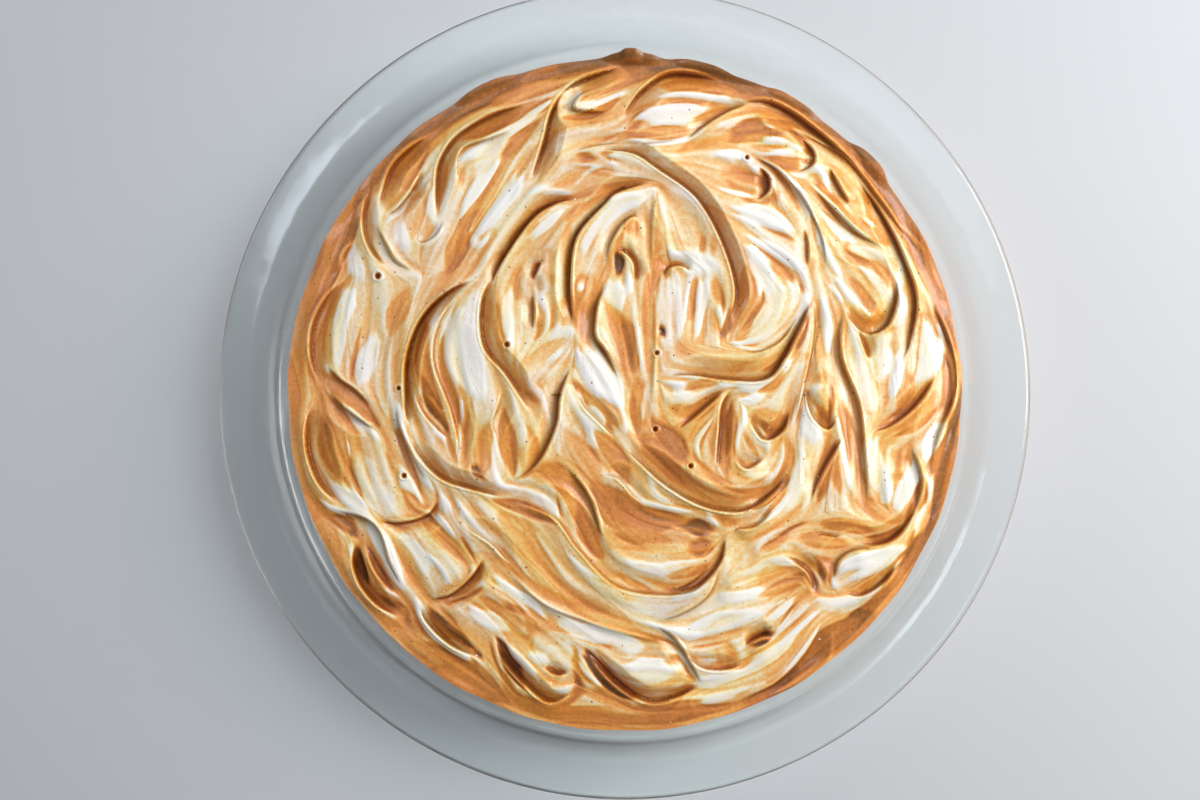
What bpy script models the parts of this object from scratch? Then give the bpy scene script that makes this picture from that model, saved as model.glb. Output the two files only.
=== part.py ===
"""A pumpkin pie swirled with cream, in its clear glass pie dish.

Two solids: the turned glass dish, and the filling that fills it, whose top is worked
into folds and troughs by a list of spatula strokes. Lengths are in millimetres and
become metres as the meshes are made. The origin is at the middle of the dish's foot,
with +Z up.
"""

import math
from collections import namedtuple

import bmesh
import bpy
import numpy as np

MM = 0.001

# Driving sizes of the dish
RIM_RADIUS = 124.0
MOUTH_RADIUS = 105.5
DISH_HEIGHT = 36.0
FLOOR_THICKNESS = 5.0
WALL_THICKNESS = 4.5
FLANGE_THICKNESS = 3.8
WALL_LEAN_DEG = 37.0
FLANGE_FALL = 0.5
FLOOR_FILLET = 9.0
MOUTH_FILLET = 2.5
NECK_FILLET = 4.0
FOOT_FILLET = 7.0
DISH_STEPS = 60
FILLET_STEPS = 3

# Driving sizes of the filling
FIT_GAP = 0.5
EDGE_LEVEL = 32.3
CENTRE_LEVEL = 35.2
EDGE_WAVE = 0.35
RIM_BAND = 7.0
FILLING_CELLS = 50
WALL_RINGS = 2

# Shape of a stroke: the heap behind its crest, and the fall from crest to trough
RELIEF_SCALE = 1.7
SOFTENING = 0.35
HEAP_LENGTH = 5.0
FALL_LENGTH = 3.2
PATH_STEP = 2.5
TAPER = 0.3

# One pull of the spatula. The path runs along the crest, with the trough on its left.
Stroke = namedtuple("Stroke", "rise cut reach path")

# Strokes of the outer ring, in the order they were pulled, from the left round the top
OUTER_STROKES = [
    Stroke(2.4, 2.4, 7, [(-85, 35), (-94, 26), (-97.5, 13), (-95, 3), (-90, 0)]),
    Stroke(2.0, 1.6, 6, [(-77, -5), (-85, 0), (-91, 7)]),
    Stroke(2.6, 2.4, 8, [(-95, -1), (-101, -8), (-102, -20), (-97, -30), (-89, -36)]),
    Stroke(1.8, 1.8, 5, [(-77, 67), (-80, 56), (-78, 46), (-69, 38)]),
    Stroke(2.0, 2.2, 7, [(-60, 79), (-70, 71), (-75, 60)]),
    Stroke(2.0, 2.4, 7, [(-33, 88), (-51, 79), (-57, 69), (-57, 52)]),
    Stroke(2.0, 2.4, 7, [(-5, 99), (-18, 92), (-24, 80), (-29, 62)]),
    Stroke(2.0, 2.4, 7, [(30, 96), (13, 97), (3, 90), (-1, 81)]),
    Stroke(1.8, 1.8, 5, [(20, 76), (27, 82), (36, 87)]),
    Stroke(1.6, 2.0, 6, [(74, 67), (60, 79), (46, 88), (33, 88)]),
    Stroke(1.8, 2.0, 6, [(87, 13), (89, 29), (82, 48), (70, 67)]),
    Stroke(2.2, 1.8, 6, [(90, -33), (97, -14), (101, 4), (98, 19), (92, 31)]),
    Stroke(1.8, 2.2, 6, [(68, 28), (72, 18), (80, 22), (83, 36)]),
    Stroke(2.4, 2.0, 7, [(56, -42), (70, -45), (82, -44), (91, -33)]),
    Stroke(2.4, 2.2, 6, [(65, -49), (65, -57), (73, -61), (84, -52)]),
    Stroke(2.0, 2.0, 6, [(-86, -44), (-84, -56), (-76, -66), (-67, -69)]),
    Stroke(2.4, 1.2, 6, [(-67, -61), (-75, -45), (-91, -35)]),
    Stroke(2.2, 2.2, 6, [(-65, -64), (-61, -72), (-45, -81)]),
    Stroke(2.6, 2.4, 6, [(-40, -74), (-36, -87), (-24, -95), (-14, -90)]),
    Stroke(2.6, 2.4, 6, [(-14, -77), (-9, -87), (4, -94), (22, -90)]),
]

# Strokes of the middle, wound round the two whorls
INNER_STROKES = [
    Stroke(2.2, 2.6, 8, [(-45, 36), (-61, 28), (-68, 12), (-68, -8), (-58, -24), (-36, -32)]),
    Stroke(1.8, 1.8, 6, [(-48, 33), (-57, 20), (-55, -2), (-51, -24)]),
    Stroke(2.0, 2.4, 8, [(-17, 60), (-33, 49), (-43, 32), (-42, 13), (-27, -6)]),
    Stroke(2.0, 2.6, 7, [(-16, 20), (-17, 38), (-9, 56), (10, 66)]),
    Stroke(2.2, 2.6, 7, [(-9, 75), (8, 71), (26, 56), (34, 34), (31, 18)]),
    Stroke(1.8, 1.8, 6, [(62, 36), (58, 52), (50, 66), (39, 73)]),
    Stroke(1.8, 1.8, 6, [(-9, 33), (-3, 49), (4, 53), (7, 36)]),
    Stroke(2.0, 2.4, 7, [(11, 5), (28, 5), (44, 4), (52, 16), (58, 32)]),
    Stroke(1.8, 2.0, 6, [(-35, -28), (-23, -14), (-20, 0), (-15, 11)]),
    Stroke(1.6, 1.8, 5, [(-1, 2), (-9, 14), (-9, 27), (-4, 36)]),
    Stroke(2.2, 2.6, 8, [(-1, -14), (13, -28), (34, -35), (50, -23)]),
    Stroke(1.6, 2.0, 6, [(34, 2), (30, -8), (28, -24)]),
    Stroke(1.8, 1.8, 7, [(14, -61), (-4, -50), (-12, -30), (-20, -20)]),
    Stroke(2.0, 1.8, 8, [(-36, -31), (-18, -41), (0, -60), (20, -60), (29, -50)]),
    Stroke(2.2, 2.0, 8, [(14, -77), (-12, -70), (-28, -61), (-37, -52)]),
    Stroke(2.0, 1.8, 6, [(34, -42), (46, -33), (60, -37)]),
    Stroke(1.8, 2.0, 6, [(24, -83), (38, -76), (52, -64), (56, -50)]),
]


def clear_scene():
    """Remove whatever the startup file put in the scene."""
    for obj in list(bpy.data.objects):
        bpy.data.objects.remove(obj, do_unlink=True)


def make_material(name, colour, roughness, alpha=1.0, transmission=0.0):
    """A Principled material in one plain colour."""
    material = bpy.data.materials.new(name)
    material.use_nodes = True
    shader = material.node_tree.nodes["Principled BSDF"]
    shader.inputs["Base Color"].default_value = (*colour, 1.0)
    shader.inputs["Roughness"].default_value = roughness
    shader.inputs["Metallic"].default_value = 0.0
    shader.inputs["Alpha"].default_value = alpha
    shader.inputs["Transmission Weight"].default_value = transmission
    return material


def rounded(corners):
    """The outline through corners of (radius, height, fillet), each corner made round."""
    outline = []
    for index, (radius, height, fillet) in enumerate(corners):
        here = np.array((radius, height))
        if fillet == 0:
            outline.append(here)
            continue
        before = np.array(corners[index - 1][:2]) - here
        after = np.array(corners[index + 1][:2]) - here
        before /= np.linalg.norm(before)
        after /= np.linalg.norm(after)
        half_angle = 0.5 * math.acos(float(np.clip(before @ after, -1.0, 1.0)))
        middle = (before + after) / np.linalg.norm(before + after)
        centre = here + middle * fillet / math.sin(half_angle)
        start = here + before * fillet / math.tan(half_angle) - centre
        end = here + after * fillet / math.tan(half_angle) - centre
        turn = math.atan2(start[0] * end[1] - start[1] * end[0], start @ end)
        for share in np.linspace(0.0, 1.0, FILLET_STEPS + 1):
            cos, sin = math.cos(share * turn), math.sin(share * turn)
            outline.append(centre + (start[0] * cos - start[1] * sin, start[0] * sin + start[1] * cos))
    return outline


def wall_radius(height, offset=0.0):
    """Radius of the dish's inner wall at a height, moved outwards by offset."""
    lean = math.radians(WALL_LEAN_DEG)
    drop = DISH_HEIGHT - FLANGE_FALL - height
    return MOUTH_RADIUS - drop * math.tan(lean) + offset / math.cos(lean)


def dish_outline():
    """Half section of the dish, from the axis over the floor, wall and flange to the foot."""
    under_flange = DISH_HEIGHT - FLANGE_THICKNESS
    edge_fillet = 0.48 * FLANGE_THICKNESS
    return rounded([
        (0.0, FLOOR_THICKNESS, 0),
        (wall_radius(FLOOR_THICKNESS), FLOOR_THICKNESS, FLOOR_FILLET),
        (MOUTH_RADIUS, DISH_HEIGHT - FLANGE_FALL, MOUTH_FILLET),
        (RIM_RADIUS, DISH_HEIGHT, edge_fillet),
        (RIM_RADIUS, under_flange, edge_fillet),
        (wall_radius(under_flange, WALL_THICKNESS), under_flange, NECK_FILLET),
        (wall_radius(0.0, WALL_THICKNESS), 0.0, FOOT_FILLET),
        (0.0, 0.0, 0),
    ])


def make_dish(collection):
    """The glass dish: its half section, turned about the axis by a Screw modifier."""
    outline = dish_outline()
    mesh = bpy.data.meshes.new("dish")
    points = [(radius * MM, 0.0, height * MM) for radius, height in outline]
    mesh.from_pydata(points, [(i, i + 1) for i in range(len(points) - 1)], [])
    dish = bpy.data.objects.new("dish", mesh)
    collection.objects.link(dish)
    turn = dish.modifiers.new("Turn", "SCREW")
    turn.axis = "Z"
    turn.angle = math.tau
    turn.steps = DISH_STEPS
    turn.render_steps = DISH_STEPS
    turn.use_merge_vertices = True
    turn.merge_threshold = 0.00001
    turn.use_smooth_shade = True
    mesh.materials.append(make_material("glass", (0.86, 0.92, 0.90), 0.03, 0.35, 1.0))
    return dish


def smooth_step(value):
    """Ease from 0 to 1 as value goes from 0 to 1."""
    value = np.clip(value, 0.0, 1.0)
    return value * value * (3.0 - 2.0 * value)


def smooth_path(knots):
    """Points about PATH_STEP apart on the smooth curve through the knots."""
    knots = np.array(knots, dtype=float)
    padded = np.vstack([2 * knots[0] - knots[1], knots, 2 * knots[-1] - knots[-2]])
    path = []
    for before, start, end, after in zip(padded, padded[1:], padded[2:], padded[3:]):
        steps = max(2, round(np.linalg.norm(end - start) / PATH_STEP))
        for t in np.arange(steps) / steps:
            path.append(0.5 * (2 * start + (end - before) * t
                               + (2 * before - 5 * start + 4 * end - after) * t ** 2
                               + (3 * start - 3 * end + after - before) * t ** 3))
    path.append(knots[-1])
    return np.array(path)


def beside_path(x, y, path):
    """How far each place lies to the left of a path, and how far along it, from 0 to 1."""
    nearest = np.full(x.shape, np.inf)
    left = np.zeros(x.shape)
    along = np.zeros(x.shape)
    runs = np.linalg.norm(np.diff(path, axis=0), axis=1)
    total = runs.sum()
    passed = 0.0
    for start, end, run in zip(path, path[1:], runs):
        ahead = (end - start) / run
        dx, dy = x - start[0], y - start[1]
        travel = np.clip(dx * ahead[0] + dy * ahead[1], 0.0, run)
        gap = np.hypot(dx - travel * ahead[0], dy - travel * ahead[1])
        side = np.where(ahead[0] * dy - ahead[1] * dx >= 0.0, 1.0, -1.0)
        closer = gap < nearest
        nearest = np.where(closer, gap, nearest)
        left = np.where(closer, side * gap, left)
        along = np.where(closer, (passed + travel) / total, along)
        passed += run
    return left, along


def stroke_relief(x, y, stroke):
    """Height that a stroke adds, and how much of the older surface it wipes away."""
    left, along = beside_path(x, y, smooth_path(stroke.path))
    strength = smooth_step(along / TAPER) * smooth_step((1.0 - along) / TAPER)
    heap = stroke.rise * np.exp(np.minimum(left, 0.0) / HEAP_LENGTH)
    trough = -stroke.cut * np.exp(-np.maximum(left - FALL_LENGTH, 0.0) / stroke.reach)
    fall = smooth_step(left / FALL_LENGTH)
    wiped = 0.7 * fall * np.exp(-np.maximum(left, 0.0) / stroke.reach)
    return strength * (heap * (1.0 - fall) + trough * fall), strength * wiped


def filling_level(x, y):
    """Height of the filling's top at a place: a low dome worked by every stroke."""
    edge_radius = wall_radius(EDGE_LEVEL)
    out = np.hypot(x, y) / edge_radius
    relief = np.zeros(np.shape(x))
    for stroke in OUTER_STROKES + INNER_STROKES:
        added, wiped = stroke_relief(x, y, stroke)
        relief = relief * (1.0 - wiped) + added
    relief *= RELIEF_SCALE * smooth_step((1.0 - out) * edge_radius / RIM_BAND)
    angle = np.arctan2(y, x)
    edge = EDGE_LEVEL + EDGE_WAVE * (np.sin(3 * angle + 0.6) + np.sin(7 * angle + 2.0))
    return edge + (CENTRE_LEVEL - EDGE_LEVEL) * (1.0 - out ** 4) + relief


def disc_from_square(x, y, radius):
    """Where a place in the square from -1 to 1 goes on a disc of the given radius."""
    return radius * x * np.sqrt(1.0 - 0.5 * y * y), radius * y * np.sqrt(1.0 - 0.5 * x * x)


def make_filling(collection):
    """The filling: a worked top, sides that follow the dish's wall, and a flat bottom."""
    shape = bmesh.new()
    bmesh.ops.create_grid(shape, x_segments=FILLING_CELLS, y_segments=FILLING_CELLS, size=1.0)
    square = np.array([vertex.co[:2] for vertex in shape.verts])
    x, y = disc_from_square(square[:, 0], square[:, 1], wall_radius(EDGE_LEVEL, -FIT_GAP))
    level = filling_level(x, y)
    for vertex, px, py, pz in zip(shape.verts, x, y, level):
        if vertex.is_boundary:
            fit = wall_radius(pz, -FIT_GAP) / math.hypot(px, py)
            px, py = px * fit, py * fit
        vertex.co = (px * MM, py * MM, pz * MM)
    inside = [vertex for vertex in shape.verts if not vertex.is_boundary]
    bmesh.ops.smooth_vert(shape, verts=inside, factor=SOFTENING, use_axis_z=True)

    bottom = FLOOR_THICKNESS + FIT_GAP
    side = rounded([
        (wall_radius(EDGE_LEVEL, -FIT_GAP), EDGE_LEVEL, 0),
        (wall_radius(bottom, -FIT_GAP), bottom, FLOOR_FILLET),
        (0.0, bottom, 0),
    ])[1:-1]
    rim = [edge for edge in shape.edges if edge.is_boundary]
    for radius, height in side:
        grown = bmesh.ops.extrude_edge_only(shape, edges=rim)["geom"]
        rim = [item for item in grown if isinstance(item, bmesh.types.BMEdge)]
        for vertex in {vertex for edge in rim for vertex in edge.verts}:
            scale = radius * MM / math.hypot(vertex.co.x, vertex.co.y)
            vertex.co = (vertex.co.x * scale, vertex.co.y * scale, height * MM)
    bmesh.ops.holes_fill(shape, edges=rim, sides=0)
    bmesh.ops.recalc_face_normals(shape, faces=shape.faces)

    mesh = bpy.data.meshes.new("filling")
    shape.to_mesh(mesh)
    shape.free()
    mesh.shade_smooth()
    mesh.materials.append(make_material("filling", (0.72, 0.42, 0.19), 0.35))
    filling = bpy.data.objects.new("filling", mesh)
    collection.objects.link(filling)
    return filling


def main():
    """Build the pie in its dish."""
    clear_scene()
    collection = bpy.data.collections.new("pumpkin_pie")
    bpy.context.scene.collection.children.link(collection)
    make_dish(collection)
    make_filling(collection)


main()
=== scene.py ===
"""The looks of a swirled pumpkin pie in its clear glass dish.

The dish is dressed as pressed glass with rolled edges. The filling is one soft mass whose
top is worked by spatula pulls: each pull leaves a steep edge, a smooth band and a lip, and
drags white cream through the orange pumpkin in long streaks. Places on the pie are in
millimetres from the middle of the dish, x to the right and y to the top of the swirl.
"""

import logging
import math
from dataclasses import dataclass
from enum import Enum

import bmesh
import bpy
import numpy as np
from mathutils import Matrix, Vector


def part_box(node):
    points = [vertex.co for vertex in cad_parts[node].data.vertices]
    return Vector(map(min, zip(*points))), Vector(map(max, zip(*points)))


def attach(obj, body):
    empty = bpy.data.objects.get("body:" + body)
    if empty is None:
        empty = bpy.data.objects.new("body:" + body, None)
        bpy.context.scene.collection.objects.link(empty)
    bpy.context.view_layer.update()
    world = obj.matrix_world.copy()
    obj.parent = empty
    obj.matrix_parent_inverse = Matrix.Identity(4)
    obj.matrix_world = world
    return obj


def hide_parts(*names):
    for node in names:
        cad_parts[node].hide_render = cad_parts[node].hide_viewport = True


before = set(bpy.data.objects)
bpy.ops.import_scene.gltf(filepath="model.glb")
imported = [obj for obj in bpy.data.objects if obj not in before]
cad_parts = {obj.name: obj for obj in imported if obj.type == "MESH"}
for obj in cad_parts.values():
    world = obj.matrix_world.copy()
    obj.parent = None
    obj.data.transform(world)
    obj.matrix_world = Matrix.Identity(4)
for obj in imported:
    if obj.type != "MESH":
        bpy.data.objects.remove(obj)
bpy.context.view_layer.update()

LOG = logging.getLogger("pie")
MM = 0.001
RIM_LEVEL = 36.0
Place = tuple[float, float]
Colour = tuple[float, float, float]
Stops = tuple[tuple[float, Colour], ...]


class Tone(float, Enum):
    """How much cream is in the pumpkin, up to pure cream. Its deep brown end is painted shade in holes,
    pockets and creases.
    """

    # painted shade: the deep brown of dark holes, pockets and creases, darker than any lit pumpkin
    SHADE_BROWN = -0.8
    RUST = -0.25
    ORANGE = 0.0
    AMBER = 0.2
    TAN = 0.4
    CREAM = 0.7
    WHITE = 1.0


@dataclass(frozen=True)
class Pull:
    """One pull of the spatula.

    The path runs along the foot of the steep edge, with the smooth band on its left.

    Attributes:
        edge: height of the steep edge above the plain surface, in mm.
        cut: depth of the foot below the plain surface, in mm.
        band: width of the slope that rises from the foot to the lip, in mm.
        lip: height of the lip, in mm.
        path: places that the smooth curve runs through.
        tone: the pumpkin that shows on the band, or None where the streaks go on over it; B, the deepest
            brown, is painted shade.
    """

    edge: float
    cut: float
    band: float
    lip: float
    path: tuple[Place, ...]
    tone: float | None = Tone.AMBER


@dataclass(frozen=True)
class Dab:
    """A streak of one tone laid along a smooth curve, in mm."""

    tone: float
    width: float
    path: tuple[Place, ...]


def dabs(*rows: tuple[float, ...]) -> tuple[Dab, ...]:
    """Dabs from rows of a tone, a width and then x and y of each place on the path."""
    return tuple(Dab(tone, width, tuple(zip(way[::2], way[1::2]))) for tone, width, *way in rows)


@dataclass(frozen=True)
class Pit:
    """A burst bubble: a small hole, painted dark brown as shade, with a raised, paler rim.

    Attributes:
        x: its place to the right, in mm.
        y: its place to the top, in mm.
        radius: radius of the hole, in mm.
        depth: depth of the hole, in mm.
        rim: height of the rim, in mm.
        paler: how much more cream shows on the rim.
    """

    x: float
    y: float
    radius: float
    depth: float = 1.6
    rim: float = 0.4
    paler: float = 0.3


@dataclass(frozen=True)
class Smear:
    """Filling smeared up the wall.

    Attributes:
        angle: its middle, in degrees from x towards y.
        half: half its width, in degrees.
        rise: its height, in mm.
    """

    angle: float
    half: float
    rise: float


# B, the deepest brown, is painted shade: dabs and pulls in B lay painted shade in dark pockets, holes and
# creases
B, R, O, A, T, C, W = (Tone.SHADE_BROWN, Tone.RUST, Tone.ORANGE, Tone.AMBER, Tone.TAN, Tone.CREAM, Tone.WHITE)

PULLS_LEFT = (
    Pull(2.0, 2.2, 4, 1.0, ((-77.5, 66), (-79.5, 58), (-79.5, 49), (-75, 41), (-64, 36.5))),
    Pull(0.8, 1.0, 3, 0.3, ((-63.5, 37), (-70, 40), (-73, 45), (-77, 53)), None),
    Pull(1.6, 2.4, 4, 0.8, ((-58, 80), (-66, 75), (-71.5, 69), (-74.5, 60), (-76, 55))),
    Pull(1.2, 1.8, 3, 0.5, ((-61, 70), (-65, 62), (-70, 56), (-74, 53.5)), A),
    Pull(1.8, 2.6, 4.5, 1.0, ((-28, 89), (-40, 85.5), (-51, 79), (-56.5, 71), (-57.5, 62), (-57, 52))),
    Pull(0.8, 1.2, 4, 0.4, ((-33, 81), (-42, 77.5), (-49, 75), (-51, 70), (-50, 63)), None),
    Pull(1.0, 1.0, 3, 0.4, ((-64, 51), (-62.5, 46.5), (-58, 48.5), (-55, 54)), None),
    Pull(0.8, 0.8, 4, 0.4, ((-82, 47), (-86, 42), (-86.5, 37)), None),
    Pull(2.2, 2.4, 6, 0.6, ((-84, 35), (-90, 31), (-95, 22), (-96, 13), (-94, 5), (-91, 1))),
    Pull(1.6, 1.2, 4, 0.4, ((-77, -5), (-82, 0.5), (-87, 4), (-92, 9)), R),
    Pull(1.2, 1.4, 4, 0.6, ((-75, -12), (-82, -7.5), (-87, -3.5), (-91, 1)), None),
    Pull(2.4, 2.6, 7, 0.6, ((-94, -1), (-97, -8), (-97, -18), (-93, -28), (-85, -35))),
    Pull(1.8, 1.2, 5, 0.4, ((-60, -28), (-65, -19), (-69, -10), (-70, -2)), None),
    Pull(2.2, 2.8, 3.5, 1.4, ((-44, 35.5), (-54, 31), (-62, 23), (-66.5, 11), (-66.8, -3), (-65, -13))),
    Pull(1.4, 1.2, 4, 0.6, ((-48, 33), (-56, 22), (-58, 10), (-53, -4), (-50.5, -15), (-52, -25)), None),
    Pull(2.2, 2.6, 4, 1.2, ((-66, -10), (-63, -18), (-56, -25.5), (-46, -29), (-34, -32))),
    Pull(1.2, 1.0, 4, 0.5, ((-36.5, 3), (-38, -3), (-40, -9), (-38, -15)), None),
    Pull(1.2, 1.2, 3, 0.6, ((-64, 2), (-62, -4), (-58, -9.5), (-53, -14)), B),
)

PULLS_TOP = (
    Pull(2.0, 3.0, 5, 1.2, ((2, 100.5), (-8, 98), (-16, 94.5), (-22, 87), (-25, 76), (-29.5, 62))),
    Pull(1.8, 2.8, 5, 1.2, ((32, 95), (20, 98), (12, 97.5), (5, 92.5), (1, 87), (-1.5, 81))),
    Pull(1.4, 1.4, 4, 0.6, ((-4, 86.5), (-10, 86), (-16, 87), (-14.5, 91), (-10, 94)), None),
    Pull(1.6, 2.2, 4, 0.6, ((17.5, 76.8), (24, 82), (31, 86.5), (40, 90)), T),
    Pull(1.2, 1.0, 3, 0.3, ((-18, 72), (-13, 75), (-5, 76.5), (8, 76.6), (19, 78)), None),
    Pull(1.8, 2.4, 5, 1.0, ((73, 68), (62, 77.5), (52, 85.5), (43, 89.5), (33, 88.5))),
    Pull(1.4, 1.4, 5, 0.5, ((88, 45), (78, 59), (68, 71.5), (59, 77), (50, 82)), O),
    Pull(1.4, 1.8, 4, 0.6, ((52, 67.5), (57, 70), (57.5, 74), (53, 79)), R),
    Pull(1.4, 1.8, 3.5, 0.8, ((54, 53.5), (51, 62), (46, 68.5), (38, 73)), R),
    Pull(1.4, 2.0, 4, 0.6, ((39.5, 59), (43.5, 62), (43.5, 66.5), (40, 70)), B),
    Pull(1.4, 1.2, 4, 0.5, ((62, 36), (59, 50), (53, 61), (45, 69.5)), None),
    Pull(1.6, 1.6, 5, 0.6, ((80, 44), (71, 49), (62, 58), (56, 64)), None),
    Pull(1.2, 1.6, 3.5, 0.6, ((69, 57), (66, 62), (62, 70)), R),
    Pull(1.8, 2.4, 4, 0.8, ((82.5, 9), (86, 13), (89, 28), (85, 42), (78, 56), (70, 67))),
    Pull(1.0, 1.2, 3, 0.4, ((55.5, 38), (55.5, 46), (54.5, 51)), R),
)

PULLS_MIDDLE = (
    Pull(1.8, 2.6, 3.4, 1.4, ((-10, 75), (2, 73.8), (10, 69), (22, 60), (30, 46), (34, 31), (31, 19))),
    Pull(1.8, 2.8, 3.5, 1.4, ((-16, 18), (-17, 34), (-15, 48), (-6, 58.5), (-2, 62), (10, 65.5))),
    Pull(1.8, 2.8, 4, 1.2, ((-42.5, 30), (-38, 40), (-29, 53), (-21, 58.5), (-12, 60)), R),
    Pull(2.0, 2.6, 4.5, 1.2, ((-39, 38), (-43.5, 28), (-43, 15), (-36, 6), (-30, -3), (-27, -7))),
    Pull(1.4, 1.6, 4, 0.4, ((-6, 37), (-5, 45), (-1, 52), (3, 54.5), (6, 50), (6.8, 40)), None),
    Pull(1.4, 2.2, 3, 0.6, ((-3.5, 45), (0, 43.5), (3, 40), (3.5, 33)), B),
    Pull(0.6, 0.6, 4, 0.2, ((8, 36), (7.5, 50), (9.5, 63)), T),
    Pull(0.5, 0.4, 4, 0.2, ((7, -10), (8.5, 14), (8, 36)), T),
    Pull(1.2, 1.8, 4, 0.4, ((11.5, 35), (13, 38.5), (17, 39.5), (21, 37)), R),
    Pull(1.0, 1.8, 3, 0.3, ((-28.5, 34.5), (-25.5, 41)), B),
    Pull(1.8, 2.6, 5, 0.8, ((10, 5.5), (20, 6), (32, 4.5), (43, 4.8), (49, 12), (58, 31))),
    Pull(1.6, 2.2, 4, 0.6, ((-36, -28), (-27, -21), (-21.5, -10), (-20, 0), (-15.5, 11))),
    Pull(1.6, 2.2, 4, 0.6, ((-1, 2), (-6, 12.5), (-9.5, 18), (-8.5, 28), (-4.5, 35.5))),
    Pull(1.2, 1.4, 3, 0.4, ((-28.5, 19), (-28, 25), (-28.5, 31)), R),
    Pull(1.4, 2.0, 3, 0.5, ((34, 2.5), (30, -3), (29, -12), (28, -25)), B),
    Pull(1.4, 1.8, 3.5, 0.5, ((15, -11.5), (22, -6), (31, 2)), R),
    Pull(2.0, 2.6, 6, 1.0, ((-2, -14), (4, -20), (13, -28), (24, -34), (36, -35.5), (45, -30), (51, -22))),
    Pull(1.4, 1.6, 4, 0.5, ((-15, 2), (-12, -4), (-5, -11), (-2, -15)), None),
    Pull(1.6, 2.0, 6, 0.6, ((14, -61), (2, -55), (-6, -47), (-11, -32), (-20, -20)), T),
    Pull(1.2, 1.2, 4, 0.4, ((-8, -24), (-2, -25.5), (3, -31), (7, -34)), None),
    Pull(1.6, 1.6, 7, 0.4,
         ((-37, -31), (-22, -37), (-14, -47), (-3, -58), (10, -61), (22, -59), (30, -49)), None),
    Pull(1.4, 1.8, 4, 0.5, ((13, -60.5), (22, -58.5), (29, -51), (30.5, -42)), B),
    Pull(1.6, 1.8, 5, 0.6, ((58, 31), (58, 18), (55, 2), (51, -14)), None),
    Pull(1.4, 2.0, 4, 0.6, ((55, 4), (57, -6), (62, -10.5), (65, -6)), R),
    Pull(1.4, 2.2, 4, 0.6, ((37, -5), (42, -13.5), (48, -11), (50.5, -4)), R),
    Pull(1.2, 1.6, 4, 0.6, ((33, -18), (37, -22.5), (43, -19)), None),
    Pull(1.2, 1.2, 4, 0.5, ((33, 15), (40, 13), (48, 17), (54, 26)), None),
)

PULLS_RIGHT = (
    Pull(1.8, 1.2, 6, 0.4, ((92, -25), (96, -12), (101, 1), (100, 13), (93, 30)), None),
    Pull(1.8, 2.4, 4.5, 0.8, ((67, 29), (69, 23), (74, 18.5), (80, 21), (83, 29), (82.5, 37))),
    Pull(1.2, 2.0, 3, 0.4, ((71, 20), (73, 15), (75, 10)), B),
    Pull(1.4, 2.0, 4, 0.6, ((74, -12), (82, -9), (90, -2), (95.5, 7)), R),
    Pull(1.6, 1.4, 6, 0.5, ((74, -36), (73, -20), (71, -3), (65.5, 12), (66.5, 28)), None),
    Pull(1.4, 1.8, 5, 0.6, ((56, -34), (60, -24), (67, -12)), R),
    Pull(1.4, 1.4, 4, 0.4, ((88, -37), (90.5, -27), (87, -15)), None),
    Pull(2.0, 2.6, 4.5, 1.0, ((54, -41.5), (64, -43.5), (76, -46), (84, -42.5), (91, -32))),
    Pull(1.8, 1.6, 5, 0.6, ((63.5, -58), (65, -51), (70, -47.5), (77, -47)), None),
    Pull(1.8, 2.4, 4, 0.8, ((66, -60), (72, -61.5), (79, -57.5), (84, -51)), R),
    Pull(1.4, 1.8, 4, 0.6, ((50, -50), (56, -54), (59, -61)), R),
)

PULLS_BOTTOM = (
    Pull(2.2, 1.4, 6, 0.4, ((-67, -61), (-72, -52), (-77, -40), (-91, -35)), None),
    Pull(2.0, 2.6, 4, 1.0, ((-81, -43), (-83, -50), (-81, -58), (-75, -65), (-67, -68.5))),
    Pull(1.2, 1.6, 3, 0.5, ((-79, -46), (-76, -54), (-70, -61.5)), R),
    Pull(2.0, 2.6, 4, 1.0, ((-63, -63), (-61, -69), (-54, -76), (-44, -81))),
    Pull(1.8, 1.8, 4, 0.5, ((-56, -31), (-60, -37), (-68, -39.5), (-76, -39)), B),
    Pull(1.8, 1.8, 4, 0.5, ((-42, -49), (-47, -56.5), (-54, -62), (-61, -63)), B),
    Pull(1.4, 1.4, 4, 0.5, ((-50, -35), (-47.5, -40.5), (-40, -46), (-33, -54)), None),
    Pull(2.2, 2.8, 4, 0.8, ((-40, -73), (-37.5, -80), (-31, -88), (-23, -94), (-14, -90))),
    Pull(1.2, 1.8, 3, 0.4, ((-25, -83), (-21, -85.5), (-17, -85)), B),
    Pull(2.4, 2.8, 4, 0.8, ((-13, -76), (-9.5, -81), (-2, -89), (7, -94), (16, -92.5), (24, -88))),
    Pull(1.4, 1.4, 4, 0.5, ((24, -90), (20, -83), (15, -75), (8, -70)), None),
    Pull(1.3, 0.5, 5, 0.5, ((15, -77.5), (3, -74.5), (-12, -70), (-26, -64), (-38, -53)), None),
    Pull(1.4, 1.4, 5, 0.5, ((30, -50), (26, -61), (18, -67), (9, -69.8)), None),
    Pull(1.4, 1.4, 4, 0.5, ((33, -44), (34, -41), (40, -40), (46, -34)), None),
    Pull(1.8, 2.6, 4, 0.6, ((36, -77), (41, -74), (46, -73.5)), B),
    Pull(1.4, 1.8, 4, 0.5, ((18, -79), (24, -83.5), (31, -84), (37, -82)), R),
    Pull(1.6, 1.4, 6, 0.4, ((62, -67), (56, -79), (46, -89), (33, -95)), None),
)

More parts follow.
